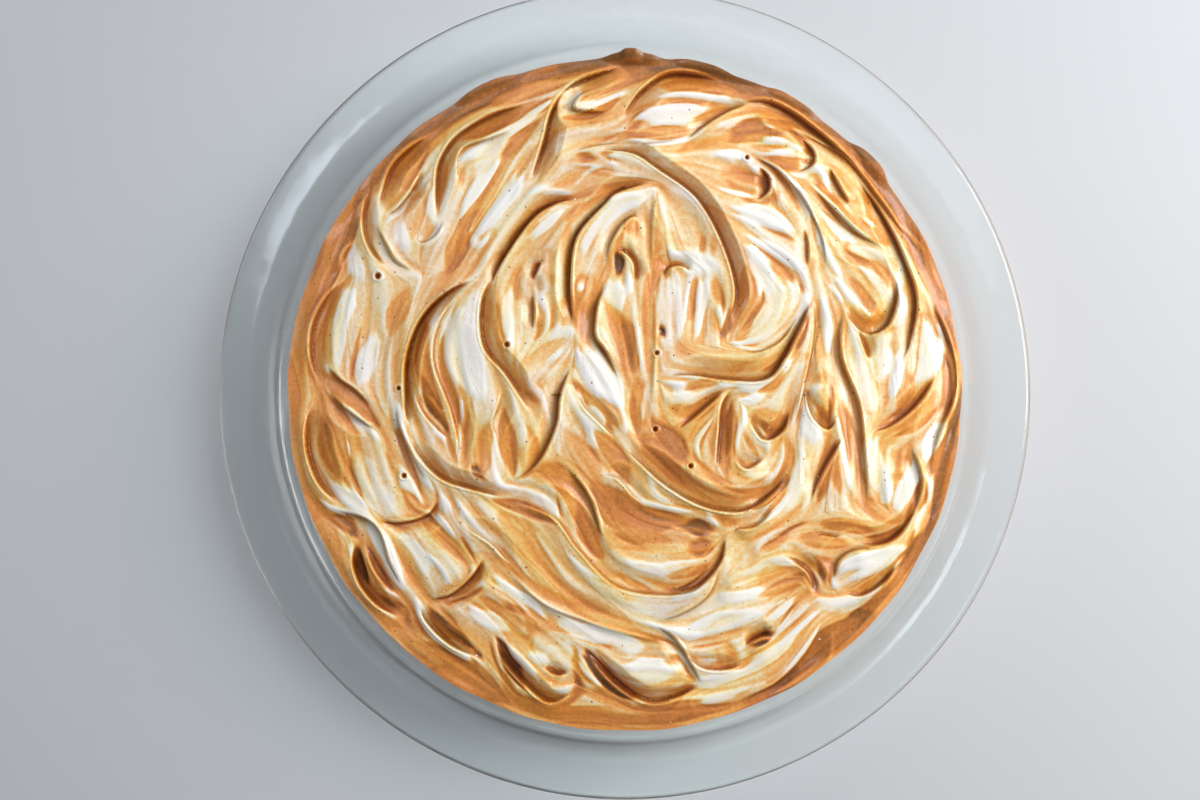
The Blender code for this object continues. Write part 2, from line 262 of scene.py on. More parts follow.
DABS_RIM = dabs(
    (-0.25, 10, -78, 64, -90, 44, -99, 20), (-0.28, 6, -62, 80, -45, 90, -28, 97, -8, 101),
    (-0.15, 3, -6, 100.5, 5, 101, 14, 101), (-0.12, 6, 30, 95, 45, 90.5, 58, 83.5, 72, 72),
    (-0.12, 6, 70, 73, 84, 58.5, 93, 44, 98, 30), (-0.12, 6, 95, 36, 99, 22, 102, 8),
    (0.25, 1.5, 99, 32, 101.5, 20, 103.3, 8, 103.5, 0), (-0.12, 8, 100, -8, 98, -18, 95, -30, 91, -43),
    (0.1, 2, 103, -5, 101.5, -16, 98, -30, 94, -42), (0, 8, -99, -28, -93, -42, -87, -52),
    (0.05, 6, -85, -60, -76, -69, -64, -78), (0, 9, -63, -76, -52, -84, -38, -91),
    (0, 7, -38, -88, -30, -96, -15, -99, 5, -99, 20, -97.5), (0.08, 5, -12, -91, -5, -92.5, 2, -97),
    (-0.2, 3, -30, -93, -22, -95.5, -14, -93), (-0.15, 3, 4, -95.5, 15, -95.5, 24, -95.5, 34, -96),
    (-0.12, 3, 28, -97, 40, -94, 50, -89.5), (-0.05, 9, 52, -86, 62, -77, 72, -69),
    (-0.18, 4, 67, -69, 76, -65, 80, -60, 84, -54), (-0.12, 5, 82, -60, 88, -52, 92, -44, 96, -33),
    (0.5, 1.2, 40, -94.8, 56, -86.2, 70, -75.2, 84, -59, 94, -42),
    (0.55, 1.2, -84, -59.5, -74, -71.5, -60, -83.5, -46, -92),
    (0.6, 1.2, -44, -93, -22, -100.5, 0, -102.8, 22, -100.5, 42, -94),
)

DABS_UPPER_LEFT = dabs(
    (0.05, 8, -59, 78, -67, 69, -74, 56), (C, 5, -56.5, 76, -60, 68, -63, 60),
    (W, 2, -59, 69, -64, 61, -73, 52.5), (A, 6, -61, 64, -64, 56, -66, 47),
    (C, 4, -70, 52, -68, 47, -66, 43), (W, 3, -58.5, 63, -59, 56, -57.5, 51),
    (W, 1.6, -63.3, 48.5, -61.5, 46.3, -58, 48.5, -55.5, 53), (-0.12, 7, -50, 78, -42, 81, -28, 87.5),
    (W, 4, -50, 72, -42, 75.5, -32, 80), (0.03, 5, -26, 84, -36, 74, -43, 61, -50, 50, -54, 41),
    (W, 3.5, -38, 73, -43, 66, -48, 59, -50, 54), (0.9, 4, -31, 70, -36, 62, -41, 54, -46, 48),
    (0.05, 6, -47, 52, -51, 45, -54, 37), (W, 1.4, -46.5, 50, -46.5, 46.5, -44, 45.5, -41, 49),
    (0.85, 5, -83, 46, -83, 40, -80, 35), (0.1, 2, -50, 69, -50, 63),
)

DABS_TOP = dabs(
    (0.05, 5, -42, 88, -28, 93, -18, 95), (-0.05, 5, -46, 81, -35, 85, -24, 88.5, -20, 91),
    (0.75, 3, -46, 77, -35, 81, -26, 87, -22, 90), (0.65, 5, -36, 80, -41, 73, -46, 66),
    (T, 4, -27, 76, -30, 70, -33, 63), (W, 4, -31, 67, -36, 60, -41, 55),
    (0.25, 5, -22, 74, -23, 68, -26, 63), (T, 9, -20, 80, -12, 80, -3, 80),
    (W, 3.5, -15, 90.5, -12, 87, -6, 88.5, 0, 92.5), (O, 2.5, -18, 84, -12, 84.5, -6, 87, -1, 91),
    (-0.02, 7, -14, 91, -8, 95, 0, 97.5, 9, 98), (W, 1.2, -14, 92, -17, 87),
    (0.02, 3.5, 6, 88, 3, 83, 1, 78), (-0.03, 7, 12, 95, 22, 94.5, 36, 91.5),
    (W, 1.2, 10, 90.5, 18, 91.5, 28, 90.5, 35, 89.5), (0.15, 1.5, 12, 89.3, 22, 88.8, 30, 88.3),
    (W, 6, 4, 84.5, 14, 85.5, 25, 87), (0.1, 2.5, 22, 84, 28, 86, 33, 88),
    (0.05, 4, 1, 78.7, 12, 79.5, 21, 80.5), (W, 1.5, -2, 78, 5, 77, 13, 76.5, 20, 78),
    (W, 1.5, -9, 76, -4, 77.5, -1, 80), (A, 5, -17, 71, -11, 70, -3, 67), (-0.3, 2.5, -14, 73, -9, 71),
    (-0.3, 2, -6, 73, -2.5, 71), (W, 1.2, -15.5, 63.5, -11, 68, -7, 69.5), (W, 1, -4, 72, -3, 69),
    (0.45, 7, 0, 72, 5, 69, 8, 64.5), (0.3, 3, -11, 63, 0, 63.5, 9, 65.5),
    (0.9, 6, -13, 42, -9, 52, -2, 58, 7, 60), (T, 3, -15, 44, -11, 53, -4, 59),
    (O, 4, 0, 53.5, 2, 51, 3, 48), (0.15, 3, -1, 50, -3, 45, -5, 38, -9, 32),
    (0.55, 4, 1, 48, 4, 45, 5, 37), (B, 3, -3, 44, -2, 40, -2, 36),
    (0.3, 4, 10, 63, 9, 50, 10, 40, 8, 30), (0.62, 12, 11, 62, 18, 55, 22, 46),
    (0.48, 3, 20, 55, 24, 50, 20, 45), (0.1, 2, 23.5, 48, 23.5, 43), (0.15, 2, 27, 47, 27, 42),
    (W, 6, 14, 43, 22, 40, 29, 39), (O, 2.5, 11.5, 35, 15, 39, 19, 39), (0.6, 5, 15, 37, 17, 34, 18, 30),
    (O, 3, -31, 51, -27, 55, -21, 58.5), (W, 2.5, -29, 47, -23, 52, -19, 56),
    (0.1, 4, -36, 45, -31, 50, -26, 53), (0.35, 5, -38, 38, -33, 45, -28, 48),
    (0.1, 3, -17, 54, -19, 45, -19, 34), (0.15, 7, -26, 43, -22, 40, -20, 32),
    (0.45, 5, -37, 33, -35, 38, -32, 42), (0.9, 2, -30, 62, -22, 62, -13, 60),
)

DABS_CENTRE = dabs(
    (0.05, 1.6, -39, 33, -38, 20, -35.5, 12), (0.8, 7, -35, 33, -34, 22, -33, 13),
    (0.5, 3.5, -30, 30, -29.5, 20, -31, 14), (W, 2.5, -28.5, 33, -26.5, 30, -25, 26),
    (0.05, 2, -27, 25, -26, 19, -28.5, 15.5), (0.3, 8, -20, 35, -20, 24, -21, 16),
    (0.65, 1.2, -24.5, 28, -23.5, 22, -25, 17), (0.6, 4, -34, 9, -28, 14.5, -19, 18),
    (0.35, 4, -31, 8, -25, 13, -18, 16), (0.9, 1, -27, 5, -23, 10, -18, 15),
    (0.85, 3, -25, 17, -20, 19, -14, 19), (T, 6, -27, 3.5, -22, 7, -17.5, 10), (A, 3, -27, 4, -23, 2),
    (0.1, 3, -33, 3, -29, -1, -25, -3), (0.45, 8, -32, -3, -27, -8, -23, -14),
    (0.05, 6, -30, -10, -29, -20, -31, -26), (0.35, 1.5, -32, -5, -31.5, -12, -32.5, -18),
    (0.6, 4, -19.5, -9, -21, -16, -25, -22), (O, 7, -14, 37, -13, 28, -11.5, 15),
    (0.15, 3, -9, 35, -11, 26), (0.8, 2, -15, 32, -12, 33.5), (A, 3, -5.5, 37, -9, 29),
    (W, 6, -5, 35, -3, 30, -1.5, 26.5), (W, 2, 1, 35, 1.5, 29.5),
    (0.3, 3.5, -6.5, 27, -4, 22, -2, 17, 0, 9), (0.05, 5, -2, 25, 2, 15, 3, 5),
    (0.8, 1, 3, 35, 3.5, 22, 5, 6), (0.75, 2.5, -9, 20, -7, 17, -4, 13),
    (0.55, 2.2, -6, 17.5, -2, 10, 1, 0, 3, -12), (W, 9, -15, 12, -9, 8, -5, 2, -1.5, -5),
    (-0.3, 2.5, -17, 4, -12, -1, -8, -6, -4, -11), (O, 5, -11, -1.5, -5, -6, 0, -10),
    (0.8, 6, -13.5, -4, -9, -10, -11, -17), (0.6, 1.2, -17.5, -1, -17, -6, -13.5, -10),
    (0.55, 3, -15, 0.5, -13, -7), (0.15, 4, 7, 37, 7.5, 20, 7.5, 4), (0.02, 6, 3, 6, 4, -4, 4, -12),
    (0.5, 5, 8, -11, 8, -3, 9, 5), (0.75, 8, 12, 36, 14, 25, 13, 13), (B, 2, 10.5, 20.5, 12, 17.5),
    (W, 2, 20, 35, 18.5, 25), (0.05, 3, 21.5, 34, 20.5, 27, 19.3, 22), (W, 3, 24.5, 36, 23, 25, 21, 16),
    (T, 3, 26, 28, 25, 22, 25, 18), (0.1, 3, 27.5, 35, 28.5, 30, 30, 26.5),
    (W, 3, 29, 27, 30, 21, 31, 16), (0.15, 3, 26.5, 25, 28, 20, 30, 16.5),
    (-0.2, 3, 33, 27, 32, 22, 30, 19, 28, 15), (T, 4, 37, 37, 38, 28, 35, 19),
    (0.1, 2, 42.5, 29, 40, 22, 36.5, 20), (T, 9, 16, 14, 28, 12.5, 42, 12), (0.3, 5, 16, 16, 22, 12),
    (W, 1, 32, 16, 38, 13.5, 45, 14), (0.75, 5, 37, 20, 42, 17, 48, 18), (0.3, 5, 30, 7.5, 42, 8, 49, 13),
    (0.9, 2, 9, 5, 18, 5.5, 28, 3, 34, 2.5), (W, 4, 13, 4, 17, 1, 20, -2),
    (0.05, 3, 17, 0.5, 23, 3, 29, 3), (C, 1.2, 15, -2, 22, 0, 29, 2.8),
    (0.05, 5, 12, -3.5, 20, -6, 24, -4, 29, 0.5), (-0.1, 5, 32.5, 0, 32, -10, 30.5, -18, 31, -26),
    (0.1, 2, 34, -5, 33, -14, 33.5, -23), (0.05, 2.5, 27, -7, 23, -13, 22, -18, 24.5, -23),
    (0.75, 1.2, 28, -6, 24, -11, 21.5, -16, 25, -23, 34, -29),
    (0.1, 12, 2, -13, 13, -20, 24, -29, 38, -32), (-0.15, 6, 8, -8.5, 14, -14, 19.5, -21),
    (C, 1.2, -1, -15, 3, -19, 8, -24, 14, -29, 22, -34, 33, -35.5),
    (0.35, 5, 2, -18.5, 7, -27, 12, -33, 23, -35), (C, 1.5, 7, -23, 9, -30, 15, -34),
    (W, 1.2, -8, -24, -2, -25.5, 2, -29, 6, -33, 12, -35, 24, -36),
    (0.15, 7, -18, -12, -12, -20, -8, -28), (0.05, 6, -8, -11, -2, -20, 1, -27),
    (-0.02, 10, -11, -27, -3, -35, 8, -40), (0.6, 1.5, -20, -20, -15, -23, -12, -29, -8, -38, -7, -46),
    (A, 8, -23, -23, -16, -30, -11, -40, -9, -47), (O, 4, -22, -24, -18, -31),
    (C, 1.5, -20, -36.5, -17, -33), (0.8, 1.2, -39, -28, -30, -29, -24, -28),
    (0.55, 5, -34, -29.5, -26, -31, -20, -37), (0.1, 4, -29, -22, -23, -23, -19, -22),
    (0.15, 3, -28, -25, -21, -27),
)

DABS_LEFT = dabs(
    (0.15, 4, -84, 36, -93, 24, -97, 12, -95, 3), (0.3, 4, -89, 29, -91, 18, -91, 8),
    (0.85, 3.5, -85, 31, -87, 20, -88, 7), (0.95, 2, -83, 31, -83.5, 19),
    (0.4, 3, -79.5, 31, -83, 20, -84, 8), (O, 1.5, -80, 23, -82, 14, -84, 3),
    (0.9, 6, -76, 19, -79, 10, -81, 2), (0.5, 3, -77, 34, -74, 19), (0.35, 5, -71, 18, -72, 8, -73, -2),
    (0.15, 6, -66, 33, -69, 26, -72, 18), (W, 1, -92, 9, -90, 5, -86, 2, -82, 0, -79, -3),
    (-0.05, 4.5, -93, 7, -88, 1, -82, -3, -75, -10), (W, 4, -87, -3.5, -80, -10, -75, -14),
    (0.25, 5, -96, -2, -101, -10, -101, -20, -97, -28, -89, -35),
    (C, 1, -95, -8, -95, -18, -92, -24, -86, -32), (0.12, 7, -92, -4, -90, -18, -83, -28),
    (-0.05, 1.5, -84, -9, -84, -22, -79, -34), (W, 1, -85, -13, -84, -22),
    (W, 4, -90, -26.5, -84, -32, -78, -36.5), (0.55, 8, -80, -11, -78, -24, -74, -37),
    (T, 5, -74, -11, -73, -25, -69, -36), (W, 3.5, -69, -4, -68, -13, -62, -24, -58.5, -29.5),
    (O, 2, -70, -11, -67, -19, -61.5, -32), (W, 4, -69, -21, -65, -30, -61.5, -34.5),
    (0.1, 4, -68, -30.5, -63, -34.5), (-0.1, 5, -61, 23, -62, 10, -58, -3, -53.5, -13),
    (-0.5, 4, -62, 5, -58.5, -4, -54, -12), (W, 1, -64, 2, -61, -5, -57, -9.5, -53, -14),
    (W, 2.5, -59.5, -8.5, -56, -13, -53, -16), (0.3, 2.5, -64, -3, -63, -12, -60, -20),
    (0.5, 6, -62, -11, -57, -18, -52.5, -23), (0.1, 1.5, -55, -11, -51.5, -21),
    (0.35, 3, -47, 32, -54, 25, -57.5, 12, -56.5, 3, -53, -4), (W, 1, -55, 23, -56, 12, -54.5, 4),
    (0.15, 3, -49, 28, -55, 15, -55, 5, -52, -3, -51, -16), (0.85, 10, -51, 27, -49, 10, -43, -2),
    (0.7, 5, -46, 30, -46, 15, -43, 4), (0.55, 3, -48.5, 26, -48.5, 19),
    (W, 1.2, -49.5, 2, -50, -8, -51, -21), (0.25, 5, -47, -1, -47, -12, -49.5, -25),
    (0.5, 4, -44, -1, -43, -9), (0.05, 6, -42, -9, -43, -18, -44, -25),
    (0.6, 2, -40, -12, -39, -20, -38.5, -28.5), (B, 2.5, -47, -22, -43.5, -25.5),
    (-0.05, 5, -37, -4, -36, -15, -34, -25), (C, 1, -34, -1, -33, -9),
)

DABS_UPPER_RIGHT = dabs(
    (0.45, 3, 32, 86, 42, 87.5, 50, 84, 57, 79.5), (0.75, 3, 29, 81.5, 35, 83.5, 40, 85.8),
    (O, 7, 31, 77, 38, 80.5, 51, 81.5), (W, 0.9, 46.5, 81, 42.5, 83, 43.5, 85.2),
    (0.1, 4, 44, 84, 50, 82.5, 55, 78.5), (-0.3, 2.5, 50.5, 81, 54, 77, 57.5, 72.5),
    (C, 1.2, 50.5, 82, 56, 79.5, 61, 76.5), (W, 2.5, 42, 76.3, 46, 77.5, 49.5, 77),
    (0.1, 2, 39, 75.5, 45, 75, 51, 74.3), (W, 1.6, 44, 73, 50, 74.5, 56, 75.8),
    (O, 3.5, 42, 71.8, 50, 70, 58, 71), (0.9, 2.5, 51, 66.5, 57, 68.5, 61.5, 70),
    (W, 2.5, 29, 74, 35, 73, 39.5, 70.5), (W, 1.5, 33, 71, 38, 68.5, 41.5, 69),
    (A, 8, 30, 69, 38, 64.5, 43, 66), (W, 1.5, 29, 62.5, 36, 61, 39.5, 59.8),
    (0.05, 2, 36.5, 59, 40.5, 58), (0.1, 2.5, 41, 57.5, 45, 60, 47.5, 63, 46, 68),
    (C, 0.8, 45, 55.5, 48, 60, 47, 66), (0.3, 5, 46.5, 56, 50, 54, 52.5, 51.5),
    (0.25, 3, 47.5, 65, 51, 59, 52.5, 54),
    (W, 2, 41, 72.5, 47, 68, 52, 63, 56, 57, 59, 49, 62, 42, 67, 34), (W, 6, 32, 56.5, 42, 54, 51, 50.5),
    (-0.1, 1.4, 38, 54.3, 44, 50, 53, 46.3), (T, 5, 39, 49, 47, 44, 55, 40.5),
    (W, 2, 37, 48.5, 44, 44, 50, 40, 55, 36.5), (0.1, 3, 36.5, 46.3, 42, 42, 48, 37.5, 55, 31),
    (W, 8, 35, 46, 40, 37, 45, 29), (0.6, 5, 30, 53, 35, 42, 38, 31),
    (0.3, 2.5, 56, 51, 57, 43, 56.5, 35), (0.1, 1.5, 57, 55, 58, 47),
    (0.05, 5, 57.5, 66.5, 64, 58, 70, 52, 77, 47), (0.8, 3, 60, 56, 65, 50, 71, 45.5),
    (0.8, 1.2, 57, 64, 63, 58, 69, 51, 77, 46.7), (W, 2, 60, 66.5, 63.5, 62),
    (0.35, 5, 65, 69, 68, 61, 72, 53), (-0.1, 1.2, 73, 63.5, 74.5, 58, 74, 53),
    (O, 6, 71, 53.5, 77, 50, 82, 45.5), (0.9, 1.2, 72.5, 53.5, 76.5, 51.3),
    (0.05, 4, 65.5, 45.5, 70, 42, 76, 40), (0.6, 2.5, 67, 44.3, 75, 43, 83, 42.3),
    (0.5, 1.2, 76, 62.5, 81, 55, 87, 49, 93, 42), (0.1, 4, 76, 39.5, 80, 35, 82.5, 30),
    (0.8, 3, 72.5, 38.5, 78, 33, 80.5, 29), (0.85, 3, 84, 41, 84, 34, 83, 29),
    (-0.05, 5, 87, 46, 92, 38, 94.5, 30),
)

DABS_RIGHT = dabs(
    (0.75, 9, 70, 22, 72, 8, 76, -6), (W, 1.5, 94, 22, 97, 18, 99, 13, 100.5, 8, 101, 2, 101, -3, 99, -7),
    (0.1, 3, 97, 12, 98.5, 6, 98.5, -1, 96, -6), (W, 6, 92, 24, 93, 16, 92, 8, 89, 4),
    (W, 2.5, 96, 18, 96.5, 12, 95, 6), (O, 2.5, 88, 24, 90.5, 23.5, 93, 23), (0.3, 1.5, 94, 22, 95, 18),
    (0.05, 6, 85, 7, 85.5, 2, 84, -5), (0.25, 3, 86, 3, 90, 0, 93, 4),
    (-0.1, 3, 95, 5, 91, -0.5, 87, -5, 81, -7), (0.2, 4, 95, 3, 92, -4, 86, -9, 77, -10.5),
    (C, 1, 96, -6, 91, -10, 84, -13.5), (O, 2, 96, -4, 90, -10, 82, -13),
    (0.4, 3, 95, -9, 89, -14, 81, -15.5), (W, 4, 98, -9, 94, -14, 91.5, -21),
    (W, 3, 84, 9, 82, 3, 81.5, -2), (0.65, 8, 80, 19, 79, 12, 79, 4), (0.3, 3.5, 82, 17, 83, 12),
    (O, 1.2, 79, 19, 81, 19.5, 83, 20.3), (0.55, 1.2, 75.5, 15, 76.5, 6, 78.5, -6),
    (0.35, 2.5, 73.3, 18, 74, 14, 74.5, 11.5), (-0.2, 0.8, 72.2, 17.5, 73, 13, 74.3, 11.7),
    (W, 0.8, 67.5, 25, 70, 21, 72, 16), (0.3, 2.5, 65, 34, 67, 27, 66.5, 18),
    (0.35, 3.5, 66, 12, 68, 4, 71, -4, 72, -11), (0.25, 3.5, 70.5, -11, 71.5, -20, 71.5, -29, 73.5, -34),
    (0.15, 1.5, 62, 32, 63, 26, 64.5, 20), (0.95, 3, 60.5, 28, 62, 20, 62, 12),
    (W, 1, 61, 35, 64, 31, 67, 27.5), (W, 2.5, 65, 35, 70, 29, 75, 23.5),
    (0.1, 3.5, 69, 35, 74, 28, 78, 24.5), (0.55, 6, 76, 35, 79, 30, 80, 26), (0.2, 2, 80, 36, 82, 31),
    (O, 4, 69, 26, 72, 22, 76, 22, 80, 24), (0.8, 4, 84.5, 33, 84.5, 26, 82.5, 20.5),
    (W, 10, 44, 32, 50, 28, 54, 20), (-0.3, 3, 42, 7, 47, 9, 50, 13, 53, 18, 56, 25),
    (W, 4, 33, 3, 40, 2, 46, 4.5), (W, 3, 34, -1, 38, -2, 43, 1),
    (0.15, 2.5, 40, 0.5, 45, 2.5, 48.5, 6.5), (W, 2, 48, 8, 50, 10, 51.5, 9),
    (0.2, 2.5, 50.5, 11.5, 54, 11.5, 57, 10), (0.35, 3, 54, 3, 52, -5, 50.5, -12),
    (-0.1, 0.8, 52.5, -1, 51.5, -6, 50, -12), (0.55, 1.5, 56, 6, 54, 0, 52, -8, 51.5, -14),
    (0.1, 3, 57, 4, 61, 5, 64.5, 3), (W, 1.8, 58, 1.5, 60, 2.5), (-0.1, 4, 58, -3, 60.5, -6, 62.5, -9),
    (-0.25, 1.5, 63, 3, 62.5, -3, 62, -8), (0.8, 1, 56.5, -3, 59, -6), (0.85, 2, 60.5, -10, 63, -10),
    (0.9, 5, 55, -4, 57, -11, 60, -15.5), (0.7, 3, 66, 3, 67.5, -3),
    (0.12, 4, 65.5, -3, 67.5, -9, 69, -16, 70, -24), (0.9, 1.5, 64.5, -7, 66.5, -15, 67.5, -23, 69, -30),
    (0.05, 3, 64.5, -16, 64, -24, 66, -31), (-0.15, 3, 64, -16, 61.5, -22, 60, -29, 59, -34),
    (-0.3, 1.5, 62, -20, 60, -27, 59, -33), (0.35, 2.5, 56, -18, 59, -18.5),
    (0.5, 2.5, 55.5, -22, 58, -25), (0.75, 2, 54.5, -18, 56, -25, 55.5, -31, 54, -36),
    (0.7, 5, 53, -22, 53, -30, 48, -36), (0.85, 6, 76, -13, 76, -22, 79, -31), (W, 4, 79, -28, 80, -34),
    (0.15, 4, 83, -17, 83.5, -21, 86, -19.5), (0.1, 2, 82.5, -25.5, 85.5, -24.5),
    (O, 1.5, 73, -31, 76, -33.5), (W, 5, 88, -20, 87, -27, 84, -33, 83.5, -37),
    (0.1, 1.5, 85.5, -38, 88, -33.5, 89.5, -28), (-0.4, 1, 86.5, -38, 89.3, -32, 90, -26),
    (0.15, 2, 88.5, -17.5, 90.5, -21, 91.5, -27), (-0.05, 3, 91.5, -26, 92, -32, 90.5, -39),
    (W, 1.5, 92.5, -24, 93.5, -32, 92.5, -39, 91, -44), (0.1, 5, 71, -33, 78, -36, 86, -39),
    (0.3, 3, 74, -34, 80, -36, 85, -38), (0.5, 2, 62, -34, 64, -36, 66, -35),
    (0.05, 6, 38, -6, 43, -8, 49, -7), (-0.4, 2.5, 42, -9.5, 45, -12, 47, -11),
    (0.85, 3.5, 38, -8, 41, -13, 44, -17), (W, 1.5, 35, -2, 36.5, -6, 34.5, -12, 33.5, -18),
    (0.4, 3, 36, -13, 37, -18, 39, -19.5), (O, 1.5, 36, -12, 39, -17, 41, -20),
    (0.05, 1.5, 35, -20, 37, -22, 40, -21), (0.75, 5, 35, -24, 41, -25, 47, -20, 48, -15),
    (0.1, 2.5, 49, -14, 50.5, -19, 48, -25, 44, -29), (0.05, 4, 31, -26, 35, -30, 43, -30, 48, -27),
    (-0.4, 2, 36, -35, 42, -33.5, 47, -29.5, 50.5, -24.5), (0.7, 0.8, 31, -27.5, 36, -29),
    (0.3, 2, 34.5, -43, 40, -40, 46, -36), (0.85, 3, 40, -39, 46, -34, 50, -29),
    (0.1, 1.5, 41, -38.5, 46, -33, 50, -28), (0.1, 3, 30, -38, 34, -38.5),
)

DABS_LOWER_LEFT = dabs(
    (-0.15, 5, -91, -37, -86, -39, -83, -43), (B, 1.5, -84, -42.5, -82, -43.5),
    (W, 2, -94, -32, -89, -35.5, -82, -36.5, -78, -37),
    (W, 5, -78, -37, -77, -41, -74, -46, -71, -53, -68, -60),
    (0.3, 2.5, -79, -44, -76, -50, -73, -57, -70, -61),
    (-0.2, 3, -79, -46, -76.5, -52, -73, -58, -70, -60.5),
    (0.35, 2, -85.5, -45, -85.5, -50, -83, -57, -79, -62, -74, -66), (W, 1.5, -84, -45.5, -83.5, -50),
    (B, 4, -81, -46, -81.5, -52, -79, -58), (0.05, 4, -78, -60.5, -73, -64, -68, -65),
    (0.05, 3, -79, -48, -77, -54, -75, -58), (W, 1.2, -77, -56, -73.5, -60, -68, -62.5),
    (0.85, 1.5, -76, -64.5, -71, -68, -67.5, -68), (0.1, 3, -66, -64, -67, -70, -65, -73),
    (W, 3, -63.5, -64, -62.5, -68, -59, -73, -55, -77), (0.2, 2, -65.5, -66, -64, -70, -60, -75),
    (-0.35, 3.5, -60, -65, -56, -70, -51, -75, -46, -78), (0.05, 3, -57, -64.5, -53, -70, -48, -75),
    (0.85, 1.5, -56, -76.5, -51, -79, -46, -82), (C, 0.8, -50, -72.5, -46, -76, -43.5, -75),
    (0.6, 1, -43.5, -77, -43, -84), (-0.3, 2, -46, -78, -44, -81), (0.9, 3, -68, -42, -63, -49, -59, -57),
    (0.35, 3, -69, -46, -66, -52, -62, -58), (0.3, 2, -65, -41, -60, -47, -55, -52),
    (0.9, 2.5, -60, -50, -56, -55, -53, -59), (0.45, 4, -58, -44, -53, -50, -50, -56),
    (0.5, 3, -59, -53, -57, -58, -58, -61),
    (0.15, 2.5, -74, -39, -68, -38, -62, -36.5, -58, -33, -57, -30),
    (0.1, 3, -67, -31, -65, -35, -60, -34), (0.5, 4, -73, -30, -71, -38), (0.95, 4, -56, -31, -54, -36),
    (W, 2.5, -60, -36.5, -56, -39.5, -52, -44), (0.1, 2.5, -62, -39, -57, -43, -52, -48, -48, -52),
    (0.4, 1.5, -57, -41, -52, -45, -48, -50), (-0.2, 1, -50, -43, -48, -47, -45.5, -51),
    (0.6, 2, -51, -33, -49.5, -39, -47.5, -44), (0.8, 2.5, -53, -30, -49, -37, -45, -42, -40, -46),
    (0.45, 2, -44, -46, -39, -50, -35, -55), (0.25, 4, -48, -32, -43, -38, -38, -43),
    (0.5, 3, -43, -34, -37, -40), (0.15, 5, -56, -61.5, -49, -58, -43, -52), (0.3, 2, -41, -52, -39, -56),
    (-0.3, 1, -55, -64.5, -48, -62, -41, -58), (W, 1, -46.5, -53.5, -45, -52.8),
    (0.95, 5, -48, -64, -43, -68, -36, -72), (0.45, 3, -53, -66, -49, -71, -46, -74),
    (0.1, 3, -45, -61.5, -39, -66, -33, -69), (0.95, 3, -40, -57, -35, -61, -30, -66),
    (0.2, 2, -41, -59.5, -36, -63, -31, -66.5),
)

